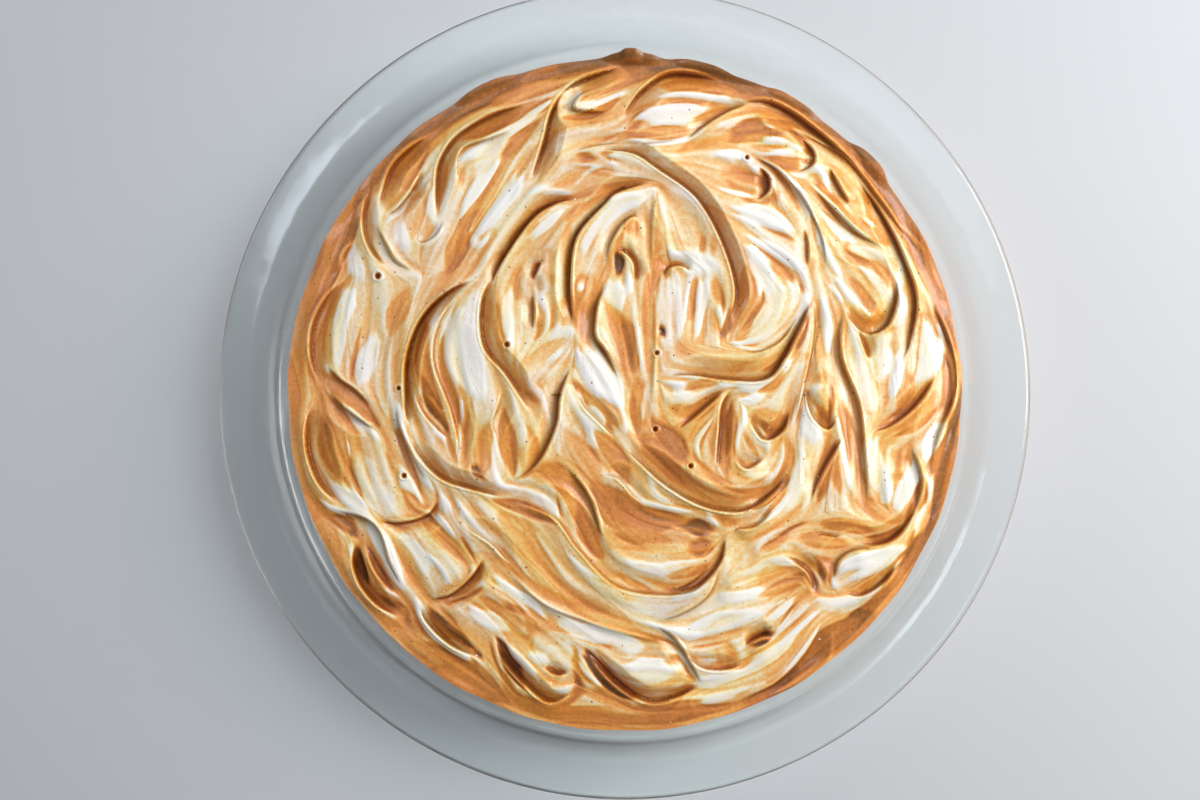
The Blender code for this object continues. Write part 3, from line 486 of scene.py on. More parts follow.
DABS_BOTTOM = dabs(
    (0.25, 7, -38, -36, -30, -48, -22, -58, -10, -66, 5, -71),
    (-0.3, 3.5, -40, -33, -33, -34, -27, -36.5, -21, -39.5), (0.3, 2, -40, -30.5, -32, -31, -27, -32.5),
    (0.9, 3, -25, -30, -22.5, -34, -20.5, -38), (B, 0.8, -21, -31, -20, -35, -19.5, -38),
    (0.15, 3, -19.5, -39.5, -16.5, -45, -12, -51, -6, -56.5, 0, -60),
    (0.4, 1.5, -17, -42, -13, -47.5, -8, -53, -3, -57.5, 3, -60),
    (O, 1.2, -21, -40.5, -18.5, -44.5, -14, -50), (-0.05, 5, -15, -31, -13, -39, -10, -46, -6, -51),
    (0.3, 3, -17, -33, -16, -38), (0.65, 1.3, -12, -30, -8.5, -37, -7, -43, -5, -48, 0, -52),
    (0.02, 8, -9, -32, -2, -37, 8, -39, 18, -38), (0.1, 6, -4, -43, 5, -44, 14, -45),
    (0.35, 5, -3, -47.5, 7, -48, 17, -48), (-0.3, 5, 17, -40, 22, -41, 27, -41.5),
    (-0.15, 6, 19, -45, 24, -47, 27, -47), (-0.1, 2, 1.5, -31, 4, -35, 8, -37.5, 14, -38.5),
    (W, 1.8, 24, -34.5, 26, -37.5, 28.5, -40.5), (0.15, 3, 27, -37, 31, -39, 35, -38.5),
    (0.9, 1, -1, -51.5, 8, -52.3, 16, -51.3, 24, -50.5), (0.45, 3, 2, -53.5, 8, -54.5, 12, -57),
    (O, 3, 14, -56.5, 20, -54.8, 26, -52), (-0.2, 1.2, 10, -58, 14, -60, 20, -58, 26, -53),
    (0.6, 1, 1, -54, 5, -57.5, 10, -60), (0.15, 2.5, -3, -55, 2, -58, 9, -61),
    (0.6, 4, 0, -62, 8, -65, 15, -65), (0.4, 2, -6, -60, 3, -63),
    (0.9, 1.5, 15, -62.5, 20, -60.5, 25, -58),
    (0.3, 2.5, 14, -67, 20, -64.5, 26, -59.5, 29, -53, 31, -47),
    (0.2, 2, -31, -38, -25, -47, -19, -56, -12, -62), (0.45, 1.5, -28, -39, -23, -47, -17, -56, -8, -62),
    (0.1, 3, -32, -55, -24, -61, -14, -66), (0.15, 3, -38, -47, -34, -53, -29, -58),
    (0.5, 2, -35, -37, -31, -42), (0.3, 3, -20, -42, -16, -49, -10, -55),
    (0.75, 0.8, -17, -49, -13, -53, -6, -57.5), (0.35, 4, -12, -67, 0, -70, 7, -72),
    (0.2, 3, -3, -72, 4, -74, 12, -75.5), (0.05, 2, 5, -74, 11, -75, 15, -76.5),
    (0.5, 1.5, -40, -48, -36, -53, -31, -59, -25, -65.5, -20, -68),
    (W, 3, -40, -57, -34, -60.5, -28, -65, -24, -69), (0.3, 2, -40, -60, -36, -62.5, -31, -66),
    (-0.3, 1.5, -36, -65, -32, -66.5, -30, -68.5), (0.1, 4, -30, -68, -28, -72, -31, -74.5),
    (0.3, 2, -26, -69, -25, -73, -29, -76), (0.2, 3, -37, -67, -33, -70, -31, -72),
    (0.05, 2, -41.5, -75, -40, -80, -37, -86, -33, -94), (0.6, 0.8, -40.5, -76, -39, -81, -36.5, -86),
    (B, 4, -39, -75, -36.5, -80, -33, -86, -31, -90), (W, 2, -35.5, -76.5, -33, -80, -30, -84),
    (0.4, 4, -24, -76, -21, -80, -19, -83), (W, 3, -28, -79.5, -24, -82),
    (0.95, 1.5, -32, -80, -29, -84, -27, -87), (0.3, 2.5, -26.5, -84.5, -24, -87.5, -20, -89),
    (-0.1, 2, -23, -84.5, -19.5, -86.5), (0.8, 0.8, -21, -88, -18, -87),
    (0.2, 3, -31, -86, -27, -90, -21, -92.5, -16, -90), (0.6, 2, -20, -91.5, -15.5, -89),
    # the first dab on the next line is a painted shadow between two ridges
    (-0.4, 3, -16, -85, -14, -90, -17, -94), (0.05, 2.5, -15.5, -77.5, -14.5, -83, -10, -89),
    (0.8, 0.8, -14, -79, -13.3, -83.5, -10, -87.5, -6, -89.5),
    (B, 4.5, -12.5, -78, -8, -84, -2, -90, 4, -93.5), (0.1, 2, -9.5, -77, -6.5, -81, -3, -86),
    (0.85, 5, -22, -70, -12, -73, -2, -75, 6, -77.5), (0.6, 2, -22, -74, -18, -77, -16, -80),
    (W, 6, 0, -83, 8, -83, 16, -84), (0.85, 4, -2, -80, 4, -78), (0.65, 4, 2, -86, 9, -86.5, 14, -85),
    (0.8, 1.2, -8, -79, -4, -84, 1, -88, 8, -89), (0.1, 3, 10.5, -81, 14, -81.5, 17, -80),
    (-0.15, 1.5, 15, -80, 17, -81.5), (0.2, 2, 4, -89.5, 11, -89.5, 17, -87, 20, -86),
    (0.1, 3, 17, -85, 20, -88, 17, -90), (0.8, 2.5, 4, -92, 9, -93, 14, -92),
    (-0.2, 2, 14, -92.5, 19, -91, 22.5, -89), (-0.3, 1.2, 18, -78, 19, -84, 22, -88.5),
    (0.2, 0.5, -1, -82, 2, -79.5, 4, -78.8), (0.1, 1.5, -8.5, -76, -5, -77.5, -4, -75.5),
    (0.8, 1.5, 8, -70, 12, -73, 16, -76, 17.5, -79.5, 20, -84, 24, -88),
)

DABS_LOWER_RIGHT = dabs(
    (0.7, 6, 28, -72, 36, -69, 44, -68), (0.85, 6, 20, -90, 30, -87, 42, -82, 52, -74),
    (0.4, 4, 25, -91, 36, -88.5, 46, -84, 53, -77, 56, -71), (0.6, 3, 24, -94, 34, -92, 44, -88),
    (W, 2, 25, -85.5, 36, -84.5, 45, -79, 55, -70, 60, -66),
    (W, 1.2, 48, -86, 51, -82.5, 56, -76, 60, -70, 66, -67), (0.1, 0.6, 35, -92, 39, -90.5),
    # the first dab on the next line is painted shade in a dark hole
    (-0.8, 3.5, 37.5, -77.5, 41, -75.5, 45, -73.5), (0.95, 2, 33.5, -75, 35.5, -79, 37, -82),
    (0.1, 4, 31, -76, 32.5, -80, 32, -83), (0.3, 3, 30, -83, 35, -83, 39, -80.5),
    (W, 2.5, 19.5, -80.5, 24, -82, 27.5, -81.5), (0.4, 3, 20, -77.5, 25, -78, 30, -76.5),
    (0.05, 1, 19.5, -77.3, 25, -76.8, 33, -75), (O, 2, 28, -78, 29, -82, 30, -84),
    (W, 3, 15, -72, 20, -74, 24, -73), (0.45, 4, 14, -69.5, 20, -68.5, 26, -65.5, 34, -62),
    (0.95, 3, 20, -71, 27, -68.5, 33, -66.5), (0.9, 3, 30, -62, 36, -61, 42, -60),
    (0.2, 1.5, 29, -59.5, 38, -58.5, 45, -56, 52, -53.5), (0.45, 3, 25, -72.5, 30, -69.5, 38, -68),
    (0.4, 3, 38, -74, 43, -70), (W, 3, 53, -61.5, 48, -65.5, 44, -69),
    (0.05, 5, 43, -62, 48, -59.5, 54, -57), (-0.1, 2.5, 50, -56, 55, -55),
    (-0.35, 3, 54, -53, 57, -57, 58.5, -60), (0.2, 2, 42, -63.5, 47, -62, 51, -61),
    (0.05, 2, 54.5, -61.5, 50.5, -66.5, 47, -72), (W, 1, 46, -73, 50, -68, 53, -63),
    (0.65, 2, 56, -63, 52, -68, 48, -73), (0.1, 0.6, 57, -65.5, 51, -71, 46, -74.5),
    (0.8, 4, 58, -62, 65, -64, 73, -61.5), (0.6, 2, 60, -65, 66, -66.5, 72, -64.5),
    (W, 5, 66, -53, 70, -51, 77, -50, 86, -47), (W, 4, 70, -56, 76, -54, 83, -49.5),
    (W, 4, 88, -44, 91, -40, 93, -33), (-0.1, 1.5, 68, -60, 74, -56.5, 79, -53, 82.5, -50.5),
    (0.25, 2.5, 69, -60.3, 73, -59, 75, -57), (0.85, 1.5, 72, -61.3, 77, -58.5, 80.5, -54),
    (0.1, 3, 84, -51.5, 83, -56, 80, -60), (0.8, 0.8, 80, -56, 84.5, -50.5, 85.5, -54),
    (0.08, 5, 52, -43.5, 60, -45, 68, -46), (O, 5, 58, -50, 62, -53, 63, -57),
    (-0.15, 4, 57, -49, 60, -52, 61, -57), (0.3, 2, 50, -46, 54, -49),
    (0.85, 1, 57, -52.5, 59, -56, 60, -58), (0.9, 1.5, 63, -56, 63.5, -58.5, 66, -60),
    (0.1, 3, 41, -48, 46, -45.5, 50, -42.5), (-0.15, 1.2, 41.5, -46.5, 46, -44.5, 50, -41.5, 56, -39),
    (C, 1, 40, -50, 41, -46, 44, -43, 50, -40.5), (0.85, 3, 45, -51, 49, -51.5, 52, -52),
    (0.6, 3, 35, -56, 41, -54, 47, -53), (0.5, 2, 31, -58, 36, -56.5, 41, -55.5),
    (0.3, 3, 36, -46, 39, -49, 38, -54), (0.45, 4, 32, -50, 34, -55),
    (-0.3, 1.5, 50, -50, 54, -52.5, 57, -57), (0.8, 0.8, 50, -49, 54, -50, 56, -51),
    (O, 4, 60, -39.5, 68, -40.5, 76, -42), (-0.35, 2.5, 74, -44, 80, -44, 86, -40.5),
)

DABS_BOWL = dabs(
    (0.85, 10, 37, 15.5, 44, 21, 49, 28, 52, 34), (0.3, 6, 36.5, 41, 37.5, 32, 33, 20),
    (O, 2, 42.3, 34, 42, 29, 39, 24, 35.5, 19.5), (0.6, 2, 44, 17, 50, 22, 54, 29),
)

DABS = (DABS_RIM + DABS_UPPER_LEFT + DABS_TOP + DABS_CENTRE + DABS_LEFT
        + DABS_UPPER_RIGHT + DABS_RIGHT + DABS_LOWER_LEFT + DABS_BOTTOM + DABS_LOWER_RIGHT + DABS_BOWL)

PITS = (Pit(-75.5, 36.0, 0.9), Pit(-36.0, 15.0, 0.8), Pit(9.7, 12.5, 0.7), Pit(9.2, -10.8, 0.7),
        Pit(20.0, -22.0, 0.7), Pit(37.3, 72.3, 0.7), Pit(-67.5, -25.0, 0.8), Pit(-69.0, 1.7, 0.6))
SMEARS = (Smear(88.5, 4.5, 1.6), Smear(89.0, 1.6, 1.2), Smear(77.0, 5.0, 1.4), Smear(60.0, 4.5, 1.6),
          Smear(43.5, 4.0, 2.0), Smear(114.5, 5.0, 1.3))


def ease(value: np.ndarray) -> np.ndarray:
    """Ease from 0 to 1 as value goes from 0 to 1."""
    value = np.clip(value, 0.0, 1.0)
    return value * value * (3.0 - 2.0 * value)


def bell(offset: np.ndarray, width: float) -> np.ndarray:
    """A soft hump that is 1 at no offset and fades out over about its width."""
    return np.exp(-(offset / width) ** 2)


def smooth_path(knots: tuple[Place, ...], step: float) -> np.ndarray:
    """Points along the smooth curve through the knots.

    Args:
        knots: places that the curve runs through.
        step: rough distance between points, in mm.

    Returns:
        The points, one row each.
    """
    given = np.array(knots, dtype=float)
    padded = np.vstack([2 * given[0] - given[1], given, 2 * given[-1] - given[-2]])
    path = []
    for before, start, end, after in zip(padded, padded[1:], padded[2:], padded[3:]):
        count = max(2, round(float(np.linalg.norm(end - start)) / step))
        for t in np.arange(count) / count:
            path.append(0.5 * (2 * start + (end - before) * t
                               + (2 * before - 5 * start + 4 * end - after) * t ** 2
                               + (3 * start - 3 * end + after - before) * t ** 3))
    path.append(given[-1])
    return np.array(path)


@dataclass(frozen=True)
class Beside:
    """Where places lie beside a path.

    Attributes:
        left: distance to the left of the path, in mm; negative on its right.
        passed: distance along the path, in mm.
        total: the path's whole length, in mm.
    """

    left: np.ndarray
    passed: np.ndarray
    total: float

    @classmethod
    def of(cls, x: np.ndarray, y: np.ndarray, path: np.ndarray) -> "Beside":
        """Measure places against a path.

        Args:
            x: the places' x, in mm.
            y: the places' y, in mm.
            path: points along the path.

        Returns:
            The places' distances beside and along it.
        """
        nearest = np.full(x.shape, np.inf)
        left = np.zeros(x.shape)
        passed = np.zeros(x.shape)
        run_before = 0.0
        for start, end in zip(path, path[1:]):
            run = float(np.linalg.norm(end - start))
            ahead = (end - start) / run
            dx, dy = x - start[0], y - start[1]
            travel = np.clip(dx * ahead[0] + dy * ahead[1], 0.0, run)
            gap = np.hypot(dx - travel * ahead[0], dy - travel * ahead[1])
            side = np.where(ahead[0] * dy - ahead[1] * dx >= 0.0, 1.0, -1.0)
            closer = gap < nearest
            nearest = np.where(closer, gap, nearest)
            left = np.where(closer, side * gap, left)
            passed = np.where(closer, run_before + travel, passed)
            run_before += run
        return cls(left, passed, run_before)

    def strength(self, taper: float, most: float = 0.35) -> np.ndarray:
        """How strongly a stroke shows along its length.

        Args:
            taper: length over which it fades at both ends, in mm.
            most: the most of its length that each fading end may take.

        Returns:
            The strength at each place, from 0 to 1.
        """
        fade = min(taper, most * self.total)
        return ease(self.passed / fade) * ease((self.total - self.passed) / fade)


@dataclass
class Raster:
    """A square sheet of numbers over the filling's top, one each cell mm."""

    half: float
    cell: float

    def __post_init__(self) -> None:
        """Lay out the sheet's places."""
        self.count = int(round(2.0 * self.half / self.cell)) + 1
        line = np.linspace(-self.half, self.half, self.count)
        self.x, self.y = np.meshgrid(line, line)

    def near(self, path: np.ndarray, reach: float) -> tuple[slice, slice]:
        """The part of the sheet within reach mm of a path's box.

        Args:
            path: points along the path.
            reach: margin round the path, in mm.

        Returns:
            Row and column slices.
        """
        low = np.floor((path.min(axis=0) - reach + self.half) / self.cell).astype(int)
        high = np.ceil((path.max(axis=0) + reach + self.half) / self.cell).astype(int) + 1
        low = np.clip(low, 0, self.count)
        high = np.clip(high, 0, self.count)
        return slice(low[1], high[1]), slice(low[0], high[0])

    def sample(self, sheet: np.ndarray, x: np.ndarray, y: np.ndarray) -> np.ndarray:
        """Read a sheet between its places.

        Args:
            sheet: numbers on this raster, with any further axes last.
            x: places' x, in mm.
            y: places' y, in mm.

        Returns:
            The sheet's value at each place.
        """
        last = self.count - 1.001
        column = np.clip((x + self.half) / self.cell, 0.0, last)
        row = np.clip((y + self.half) / self.cell, 0.0, last)
        left, low = column.astype(int), row.astype(int)
        across, up = column - left, row - low
        if sheet.ndim == 3:
            across, up = across[..., None], up[..., None]
        bottom = sheet[low, left] * (1 - across) + sheet[low, left + 1] * across
        top = sheet[low + 1, left] * (1 - across) + sheet[low + 1, left + 1] * across
        return bottom * (1 - up) + top * up

    def blur(self, sheet: np.ndarray, spread: float) -> np.ndarray:
        """Soften a sheet by a Gaussian of the given spread, in mm."""
        reach = max(1, int(3.0 * spread / self.cell))
        steps = np.arange(-reach, reach + 1) * self.cell
        weights = np.exp(-0.5 * (steps / spread) ** 2)
        weights /= weights.sum()
        padded = np.pad(sheet, reach, mode="edge")
        rows = sum(w * padded[i:i + sheet.shape[0], :] for i, w in enumerate(weights))
        return sum(w * rows[:, i:i + sheet.shape[1]] for i, w in enumerate(weights))

    def noise(self, seed: int, spread: float) -> np.ndarray:
        """Smooth noise with features of about spread mm, scaled to a deviation of 1."""
        rough = np.random.default_rng(seed).standard_normal((self.count, self.count))
        soft = self.blur(rough, spread) if spread > 0.5 * self.cell else rough
        return (soft - soft.mean()) / soft.std()


@dataclass(frozen=True)
class Spatula:
    """The marks that a pull of the spatula leaves, from its steep edge over its band to its lip.

    All sizes are in mm. Distances run to the left from the top of the steep edge.

    Attributes:
        taper: length over which a pull fades in and out.
        steep: width of the steep edge.
        foot_at: how much of the steep edge lies right of the pull's path.
        heap: how far filling is heaped up behind the edge and past the lip.
        brink: how far the sharp part of the heap reaches.
        brink_share: how much of the heap is sharp.
        widen: scale of the pulls' bands.
        narrow: how much of a band's width is left at the pull's ends.
        deepen: scale of the pulls' cuts.
        bow: power of the band's rise to its lip; below 1 it bows up.
        wipe: how much a pull wipes off the older relief.
        wipe_reach: how far past the lip it wipes.
        crest: width of the crest along the edge.
        lip_crest: width of the crest along the lip.
        lip_share: how strong the lip's crest is against the edge's.
        crest_wipe: how much a pull wipes off the older crests on its band.
        cover_wipe: how much a pull without a tone wipes off the older bands' tones.
        foot_reach: reach of the foot's shade, plain and for each mm of the cut.
        foot_fade: length over which the shade dies away, plain and for each mm of the cut.
        foot_dark: how dark the shade is, plain and for each mm of the cut.
        shallow: the cut below which the shade is weaker.
    """

    taper: float = 14.0
    steep: float = 0.9
    foot_at: float = 0.6
    heap: float = 4.5
    brink: float = 1.0
    brink_share: float = 0.3
    widen: float = 1.15
    narrow: float = 0.3
    deepen: float = 1.3
    bow: float = 0.7
    wipe: float = 0.8
    wipe_reach: float = 2.0
    crest: float = 0.5
    lip_crest: float = 0.6
    lip_share: float = 0.7
    crest_wipe: float = 0.8
    cover_wipe: float = 0.7
    foot_reach: tuple[float, float] = (0.08, 0.2)
    foot_fade: tuple[float, float] = (0.3, 0.25)
    foot_dark: tuple[float, float] = (0.66, 0.1)
    shallow: float = 1.2

    def reach(self, pull: Pull) -> float:
        """How far from its path a pull changes the filling."""
        return self.widen * pull.band + 3.0 * self.heap

    def band(self, pull: Pull, strength: np.ndarray) -> np.ndarray:
        """Width of the pull's band, narrower towards its ends."""
        return self.widen * pull.band * (self.narrow + (1.0 - self.narrow) * strength)

    def relief(self, pull: Pull, left: np.ndarray, band: np.ndarray) -> tuple[np.ndarray, np.ndarray]:
        """Shape across a pull.

        Args:
            pull: the pull.
            left: distance from the top of the edge.
            band: width of the band.

        Returns:
            The pull's own relief, and how much of the older relief it wipes off.
        """
        foot = self.foot_at * self.steep
        fall = ease(left / self.steep)
        behind = np.minimum(left, 0.0)
        heap = pull.edge * ((1.0 - self.brink_share) * np.exp(behind / self.heap)
                            + self.brink_share * np.exp(behind / self.brink))
        rise = np.clip((left - foot) / band, 0.0, 1.0) ** self.bow
        past = np.maximum(left - band - foot, 0.0)
        floor = -self.deepen * pull.cut * (1.0 - rise) + pull.lip * rise * np.exp(-past / self.heap)
        return heap * (1.0 - fall) + floor * fall, self.wipe * fall * np.exp(-past / self.wipe_reach)

    def on_band(self, left: np.ndarray, band: np.ndarray) -> np.ndarray:
        """1 on the band, with soft sides."""
        return self.begun(left) * ease((band + 0.6 - left) / 0.8)

    @staticmethod
    def begun(left: np.ndarray) -> np.ndarray:
        """0 behind the edge and 1 from its top on, over half a millimetre."""
        return ease((left + 0.1) / 0.5)

    def paint(self, left: np.ndarray, band: np.ndarray, strength: np.ndarray) -> np.ndarray:
        """How much of its own tone a pull lays down, most near its edge."""
        return ease(2.0 * strength) * self.begun(left) * np.clip(1.1 - left / (0.7 * band), 0.0, 1.0)

    def crests(self, left: np.ndarray, band: np.ndarray) -> np.ndarray:
        """The crest along the edge and the weaker one along the lip, which also mark where the painted
        highlight goes.
        """
        return bell(left + self.crest, self.crest) + self.lip_share * bell(left - band - 1.0, self.lip_crest)

    def foot(self, pull: Pull, left: np.ndarray, strength: np.ndarray) -> np.ndarray:
        """How much painted shade the foot of the edge gets, darker and wider for a deeper cut."""
        reach, fade, dark = (plain + deeper * pull.cut
                             for plain, deeper in (self.foot_reach, self.foot_fade, self.foot_dark))
        shade = ease(left / 0.35) * np.exp(-np.maximum(left - reach * strength, 0.0) / fade)
        return dark * ease(pull.cut / self.shallow) * shade * ease(2.0 * strength)


@dataclass(frozen=True)
class Marbling:
    """How cream and pumpkin are mixed in the top. Sizes in mm, and tones as in Tone.

    Attributes:
        noises: seed and spread of the noises that are dragged into streaks, the blush's last.
        length: how far the streaks are dragged each way.
        streaks: strength of the broad, middle and fine streaks.
        ragged: how far the middle and fine streaks push the dabs' edges about.
        blend: how far a dab is dragged each way.
        dab_half: half of a dab's width, as a share of it.
        dab_blunt: power of a dab's ends; the smaller, the blunter.
        dab_soft: width of a dab's soft sides.
        stray: how much raggedness moves a dab's ends and its sides.
        base: tone between the dabs.
        rim: how far in the pumpkin round the edge reaches, and over what width it ends.
        clean: how far in the edge is wiped clean, over what width, and how cleanly.
        contrast: how much broad patches are strengthened, their spread and their middle tone.
        sharpen: how much edges are sharpened, and their spread.
        cover: how much a band's tone covers the dabs.
        foot: how much the feet's painted shade also turns the tone to orange pumpkin.
        crest: how much a crest is lightened, as a painted highlight.
        crest_highlight_tone: the tone of the crests' painted highlight.
        blush_and_highlight: the middle of the blush, its spread, and how much crests take off it, which
            turns them yellow as a painted highlight.
    """

    noises: tuple[tuple[int, float], ...] = ((3, 2.0), (5, 0.9), (7, 0.45), (11, 1.4))
    length: float = 16.0
    streaks: tuple[float, float, float] = (0.08, 0.1, 0.06)
    ragged: tuple[float, float] = (0.4, 0.3)
    blend: float = 2.0
    dab_half: float = 0.55
    dab_blunt: float = 0.7
    dab_soft: float = 0.4
    stray: tuple[float, float] = (1.5, 0.7)
    base: float = 0.44
    rim: tuple[float, float] = (7.0, 4.0)
    clean: tuple[float, float, float] = (6.5, 3.5, 0.6)
    contrast: tuple[float, float, float] = (0.25, 3.0, 0.42)
    sharpen: tuple[float, float] = (0.8, 0.8)
    cover: float = 0.55
    foot: float = 0.5
    crest: float = 0.65
    crest_highlight_tone: float = 0.62
    blush_and_highlight: tuple[float, float, float] = (0.5, 0.17, 0.3)

    @staticmethod
    def rim_tone(across: np.ndarray, up: np.ndarray) -> np.ndarray:
        """Tone of the plain pumpkin round the edge, at shares of the radius from the middle."""
        return -0.23 - 0.26 * across - 0.13 * up - 0.18 * up ** 2 + 0.2 * across * up


@dataclass
class Swirl:
    """The worked top of the filling: its relief, and the way cream runs through it. Sizes in mm.

    Attributes:
        radius: the top's radius.
        cell: one cell of its sheets.
        margin: how far the sheets reach past the top.
        path_step: distance between points along the strokes.
        round_off: spread of the blur over all but crests and feet.
        ridges: height of the broad and the middle streaks.
        lumps: seed, spread and height of the broad lumps.
        proud: how far cream stands above pumpkin, its spread and the tone that stands level.
    """

    radius: float
    cell: float = 0.3
    margin: float = 2.0
    path_step: float = 1.5
    round_off: float = 0.9
    ridges: tuple[float, float] = (0.14, 0.09)
    lumps: tuple[int, float, float] = (9, 5.0, 0.2)
    proud: tuple[float, float, float] = (0.6, 0.5, 0.4)
    spatula: Spatula = Spatula()
    marbling: Marbling = Marbling()
    pulls: tuple[Pull, ...] = PULLS_LEFT + PULLS_TOP + PULLS_MIDDLE + PULLS_RIGHT + PULLS_BOTTOM

    def __post_init__(self) -> None:
        """Work the pulls into sheets of relief and tone."""
        self.raster = Raster(self.radius + self.margin, self.cell)
        self.paths = [smooth_path(pull.path, self.path_step) for pull in self.pulls]
        self.flow = self.flow_sheet()
        self.relief, self.band_tone, self.band_cover, self.crest, self.foot = self.work_pulls()
        plain = 1.0 - np.clip(self.crest + self.foot, 0.0, 1.0)
        self.relief += plain * (self.raster.blur(self.relief, self.round_off) - self.relief)
        noises = [self.raster.noise(seed, spread) for seed, spread in self.marbling.noises]
        self.streaks = self.drag(np.stack(noises, axis=-1), self.marbling.length)
        self.streaks /= self.streaks.std(axis=(0, 1))
        # painted highlight: crests take off the blush, which turns them yellow
        middle, spread, taken = self.marbling.blush_and_highlight
        self.blush_and_highlight = middle + spread * self.streaks[..., 3] - taken * self.crest
        seed, spread, height = self.lumps
        self.relief += (self.ridges[0] * self.streaks[..., 0] + self.ridges[1] * self.streaks[..., 1]
                        + height * self.raster.noise(seed, spread))
        self.tone = self.tone_sheet()
        height, spread, level = self.proud
        self.relief += height * (self.raster.blur(self.tone, spread) - level)
        for pit in PITS:
            self.prick(pit)

    def prick(self, pit: Pit) -> None:
        """Burst a bubble, painting its hole deep brown as painted shade."""
        gap = np.hypot(self.raster.x - pit.x, self.raster.y - pit.y) / pit.radius
        hole, rim = np.exp(-gap ** 4), bell(gap - 1.5, 0.5)
        self.relief += pit.rim * rim - pit.depth * hole
        self.tone += pit.paler * rim + (Tone.SHADE_BROWN - self.tone) * hole

    def work_pulls(self) -> tuple[np.ndarray, ...]:
        """Lay every pull over the older ones.

        Returns:
            Sheets of relief in mm, of the bands' tone and how much it covers, of crests, which carry a
            painted highlight, and of the feet's painted shade.
        """
        spatula = self.spatula
        shape = self.raster.x.shape
        relief, tone, cover, crest, foot = (np.zeros(shape) for _ in range(5))
        for pull, path in zip(self.pulls, self.paths):
            near = self.raster.near(path, spatula.reach(pull))
            beside = Beside.of(self.raster.x[near], self.raster.y[near], path)
            strength = beside.strength(spatula.taper)
            left = beside.left + spatula.foot_at * spatula.steep
            band = spatula.band(pull, strength)
            on_band = spatula.on_band(left, band)
            raised, wiped = spatula.relief(pull, left, band)
            relief[near] = relief[near] * (1.0 - strength * wiped) + strength * raised
            if pull.tone is not None:
                paint = spatula.paint(left, band, strength)
                tone[near] = tone[near] * (1 - paint) + pull.tone * paint
                cover[near] = cover[near] * (1 - paint) + paint
            else:
                cover[near] = cover[near] * (1 - spatula.cover_wipe * strength * on_band)
            # the crest sheet carries the painted highlight, and the foot sheet the painted shade
            crest[near] = np.maximum(crest[near] * (1 - spatula.crest_wipe * strength * on_band),
                                     strength * spatula.crests(left, band))
            foot[near] = np.maximum(foot[near] * (1 - strength * on_band),
                                    spatula.foot(pull, left, strength))
        return relief, tone, cover, crest, foot

    def flow_sheet(self, cell: float = 2.5, core: float = 3.0) -> np.ndarray:
        """The way the filling was dragged.

        Args:
            cell: cell of the coarse sheet that it is worked out on, in mm.
            core: distance from a stroke within which its pull levels off, in mm.

        Returns:
            A sheet of directions, each a unit vector at twice its angle.
        """
        coarse = Raster(self.raster.half, cell)
        turned = np.zeros(coarse.x.shape + (2,))
        around = 2.0 * (np.arctan2(coarse.y, coarse.x) + 0.5 * math.pi)
        ring = 0.02 * ease((np.hypot(coarse.x, coarse.y) - 60.0) / 40.0)
        turned[..., 0] += ring * np.cos(around)
        turned[..., 1] += ring * np.sin(around)
        weight = 1e-6 + ring
        for path in self.paths + [smooth_path(dab.path, 2.0 * self.path_step) for dab in DABS]:
            middles = 0.5 * (path[1:] + path[:-1])
            runs = path[1:] - path[:-1]
            angles = 2.0 * np.arctan2(runs[:, 1], runs[:, 0])
            for middle, angle, length in zip(middles, angles, np.linalg.norm(runs, axis=1)):
                gap = (coarse.x - middle[0]) ** 2 + (coarse.y - middle[1]) ** 2
                pull = length / (gap + core ** 2) ** 1.5
                turned[..., 0] += pull * math.cos(angle)
                turned[..., 1] += pull * math.sin(angle)
                weight += pull
        turned = coarse.sample(turned / weight[..., None], self.raster.x, self.raster.y)
        return turned / (np.hypot(turned[..., 0], turned[..., 1])[..., None] + 1e-9)

    def drag(self, sheet: np.ndarray, length: float, step: float = 0.8) -> np.ndarray:
        """Smear a sheet both ways along the flow.

        Args:
            sheet: the numbers to smear, with channels last.
            length: how far they are dragged each way, in mm.
            step: length of one step, in mm.

        Returns:
            The smeared sheet.
        """
        total = sheet.copy()
        weights = 1.0
        angle = 0.5 * np.arctan2(self.flow[..., 1], self.flow[..., 0])
        for way in (-1.0, 1.0):
            x, y = self.raster.x.copy(), self.raster.y.copy()
            heading_x, heading_y = way * np.cos(angle), way * np.sin(angle)
            for index in range(int(length / step)):
                x = x + step * heading_x
                y = y + step * heading_y
                turned = self.raster.sample(self.flow, x, y)
                local = 0.5 * np.arctan2(turned[..., 1], turned[..., 0])
                next_x, next_y = np.cos(local), np.sin(local)
                sign = np.where(next_x * heading_x + next_y * heading_y >= 0.0, 1.0, -1.0)
                heading_x, heading_y = sign * next_x, sign * next_y
                share = 1.0 - (index + 1) * step / length
                total = total + share * self.raster.sample(sheet, x, y)
                weights += share
        return total / weights

    def painted(self, base: np.ndarray, dabs: tuple[Dab, ...], ragged: np.ndarray) -> np.ndarray:
        """Lay dabs of tone on a sheet, one over another.

        Args:
            base: the tone to lay them on.
            dabs: the dabs, oldest first.
            ragged: streaks that make the dabs' edges stray, about 1 mm at most.

        Returns:
            The painted tone.
        """
        mix = self.marbling
        tone = base.copy()
        for dab in dabs:
            path = smooth_path(dab.path, self.path_step)
            near = self.raster.near(path, dab.width)
            beside = Beside.of(self.raster.x[near], self.raster.y[near], path)
            share = np.clip((beside.passed + mix.stray[0] * ragged[near]) / beside.total, 0.0, 1.0)
            half = mix.dab_half * dab.width * (4.0 * share * (1.0 - share)) ** mix.dab_blunt
            within = half - np.abs(beside.left) + mix.stray[1] * ragged[near]
            inside = ease(within / mix.dab_soft + 0.5) * ease(half / mix.dab_soft)
            tone[near] = tone[near] * (1.0 - inside) + dab.tone * inside
        return tone

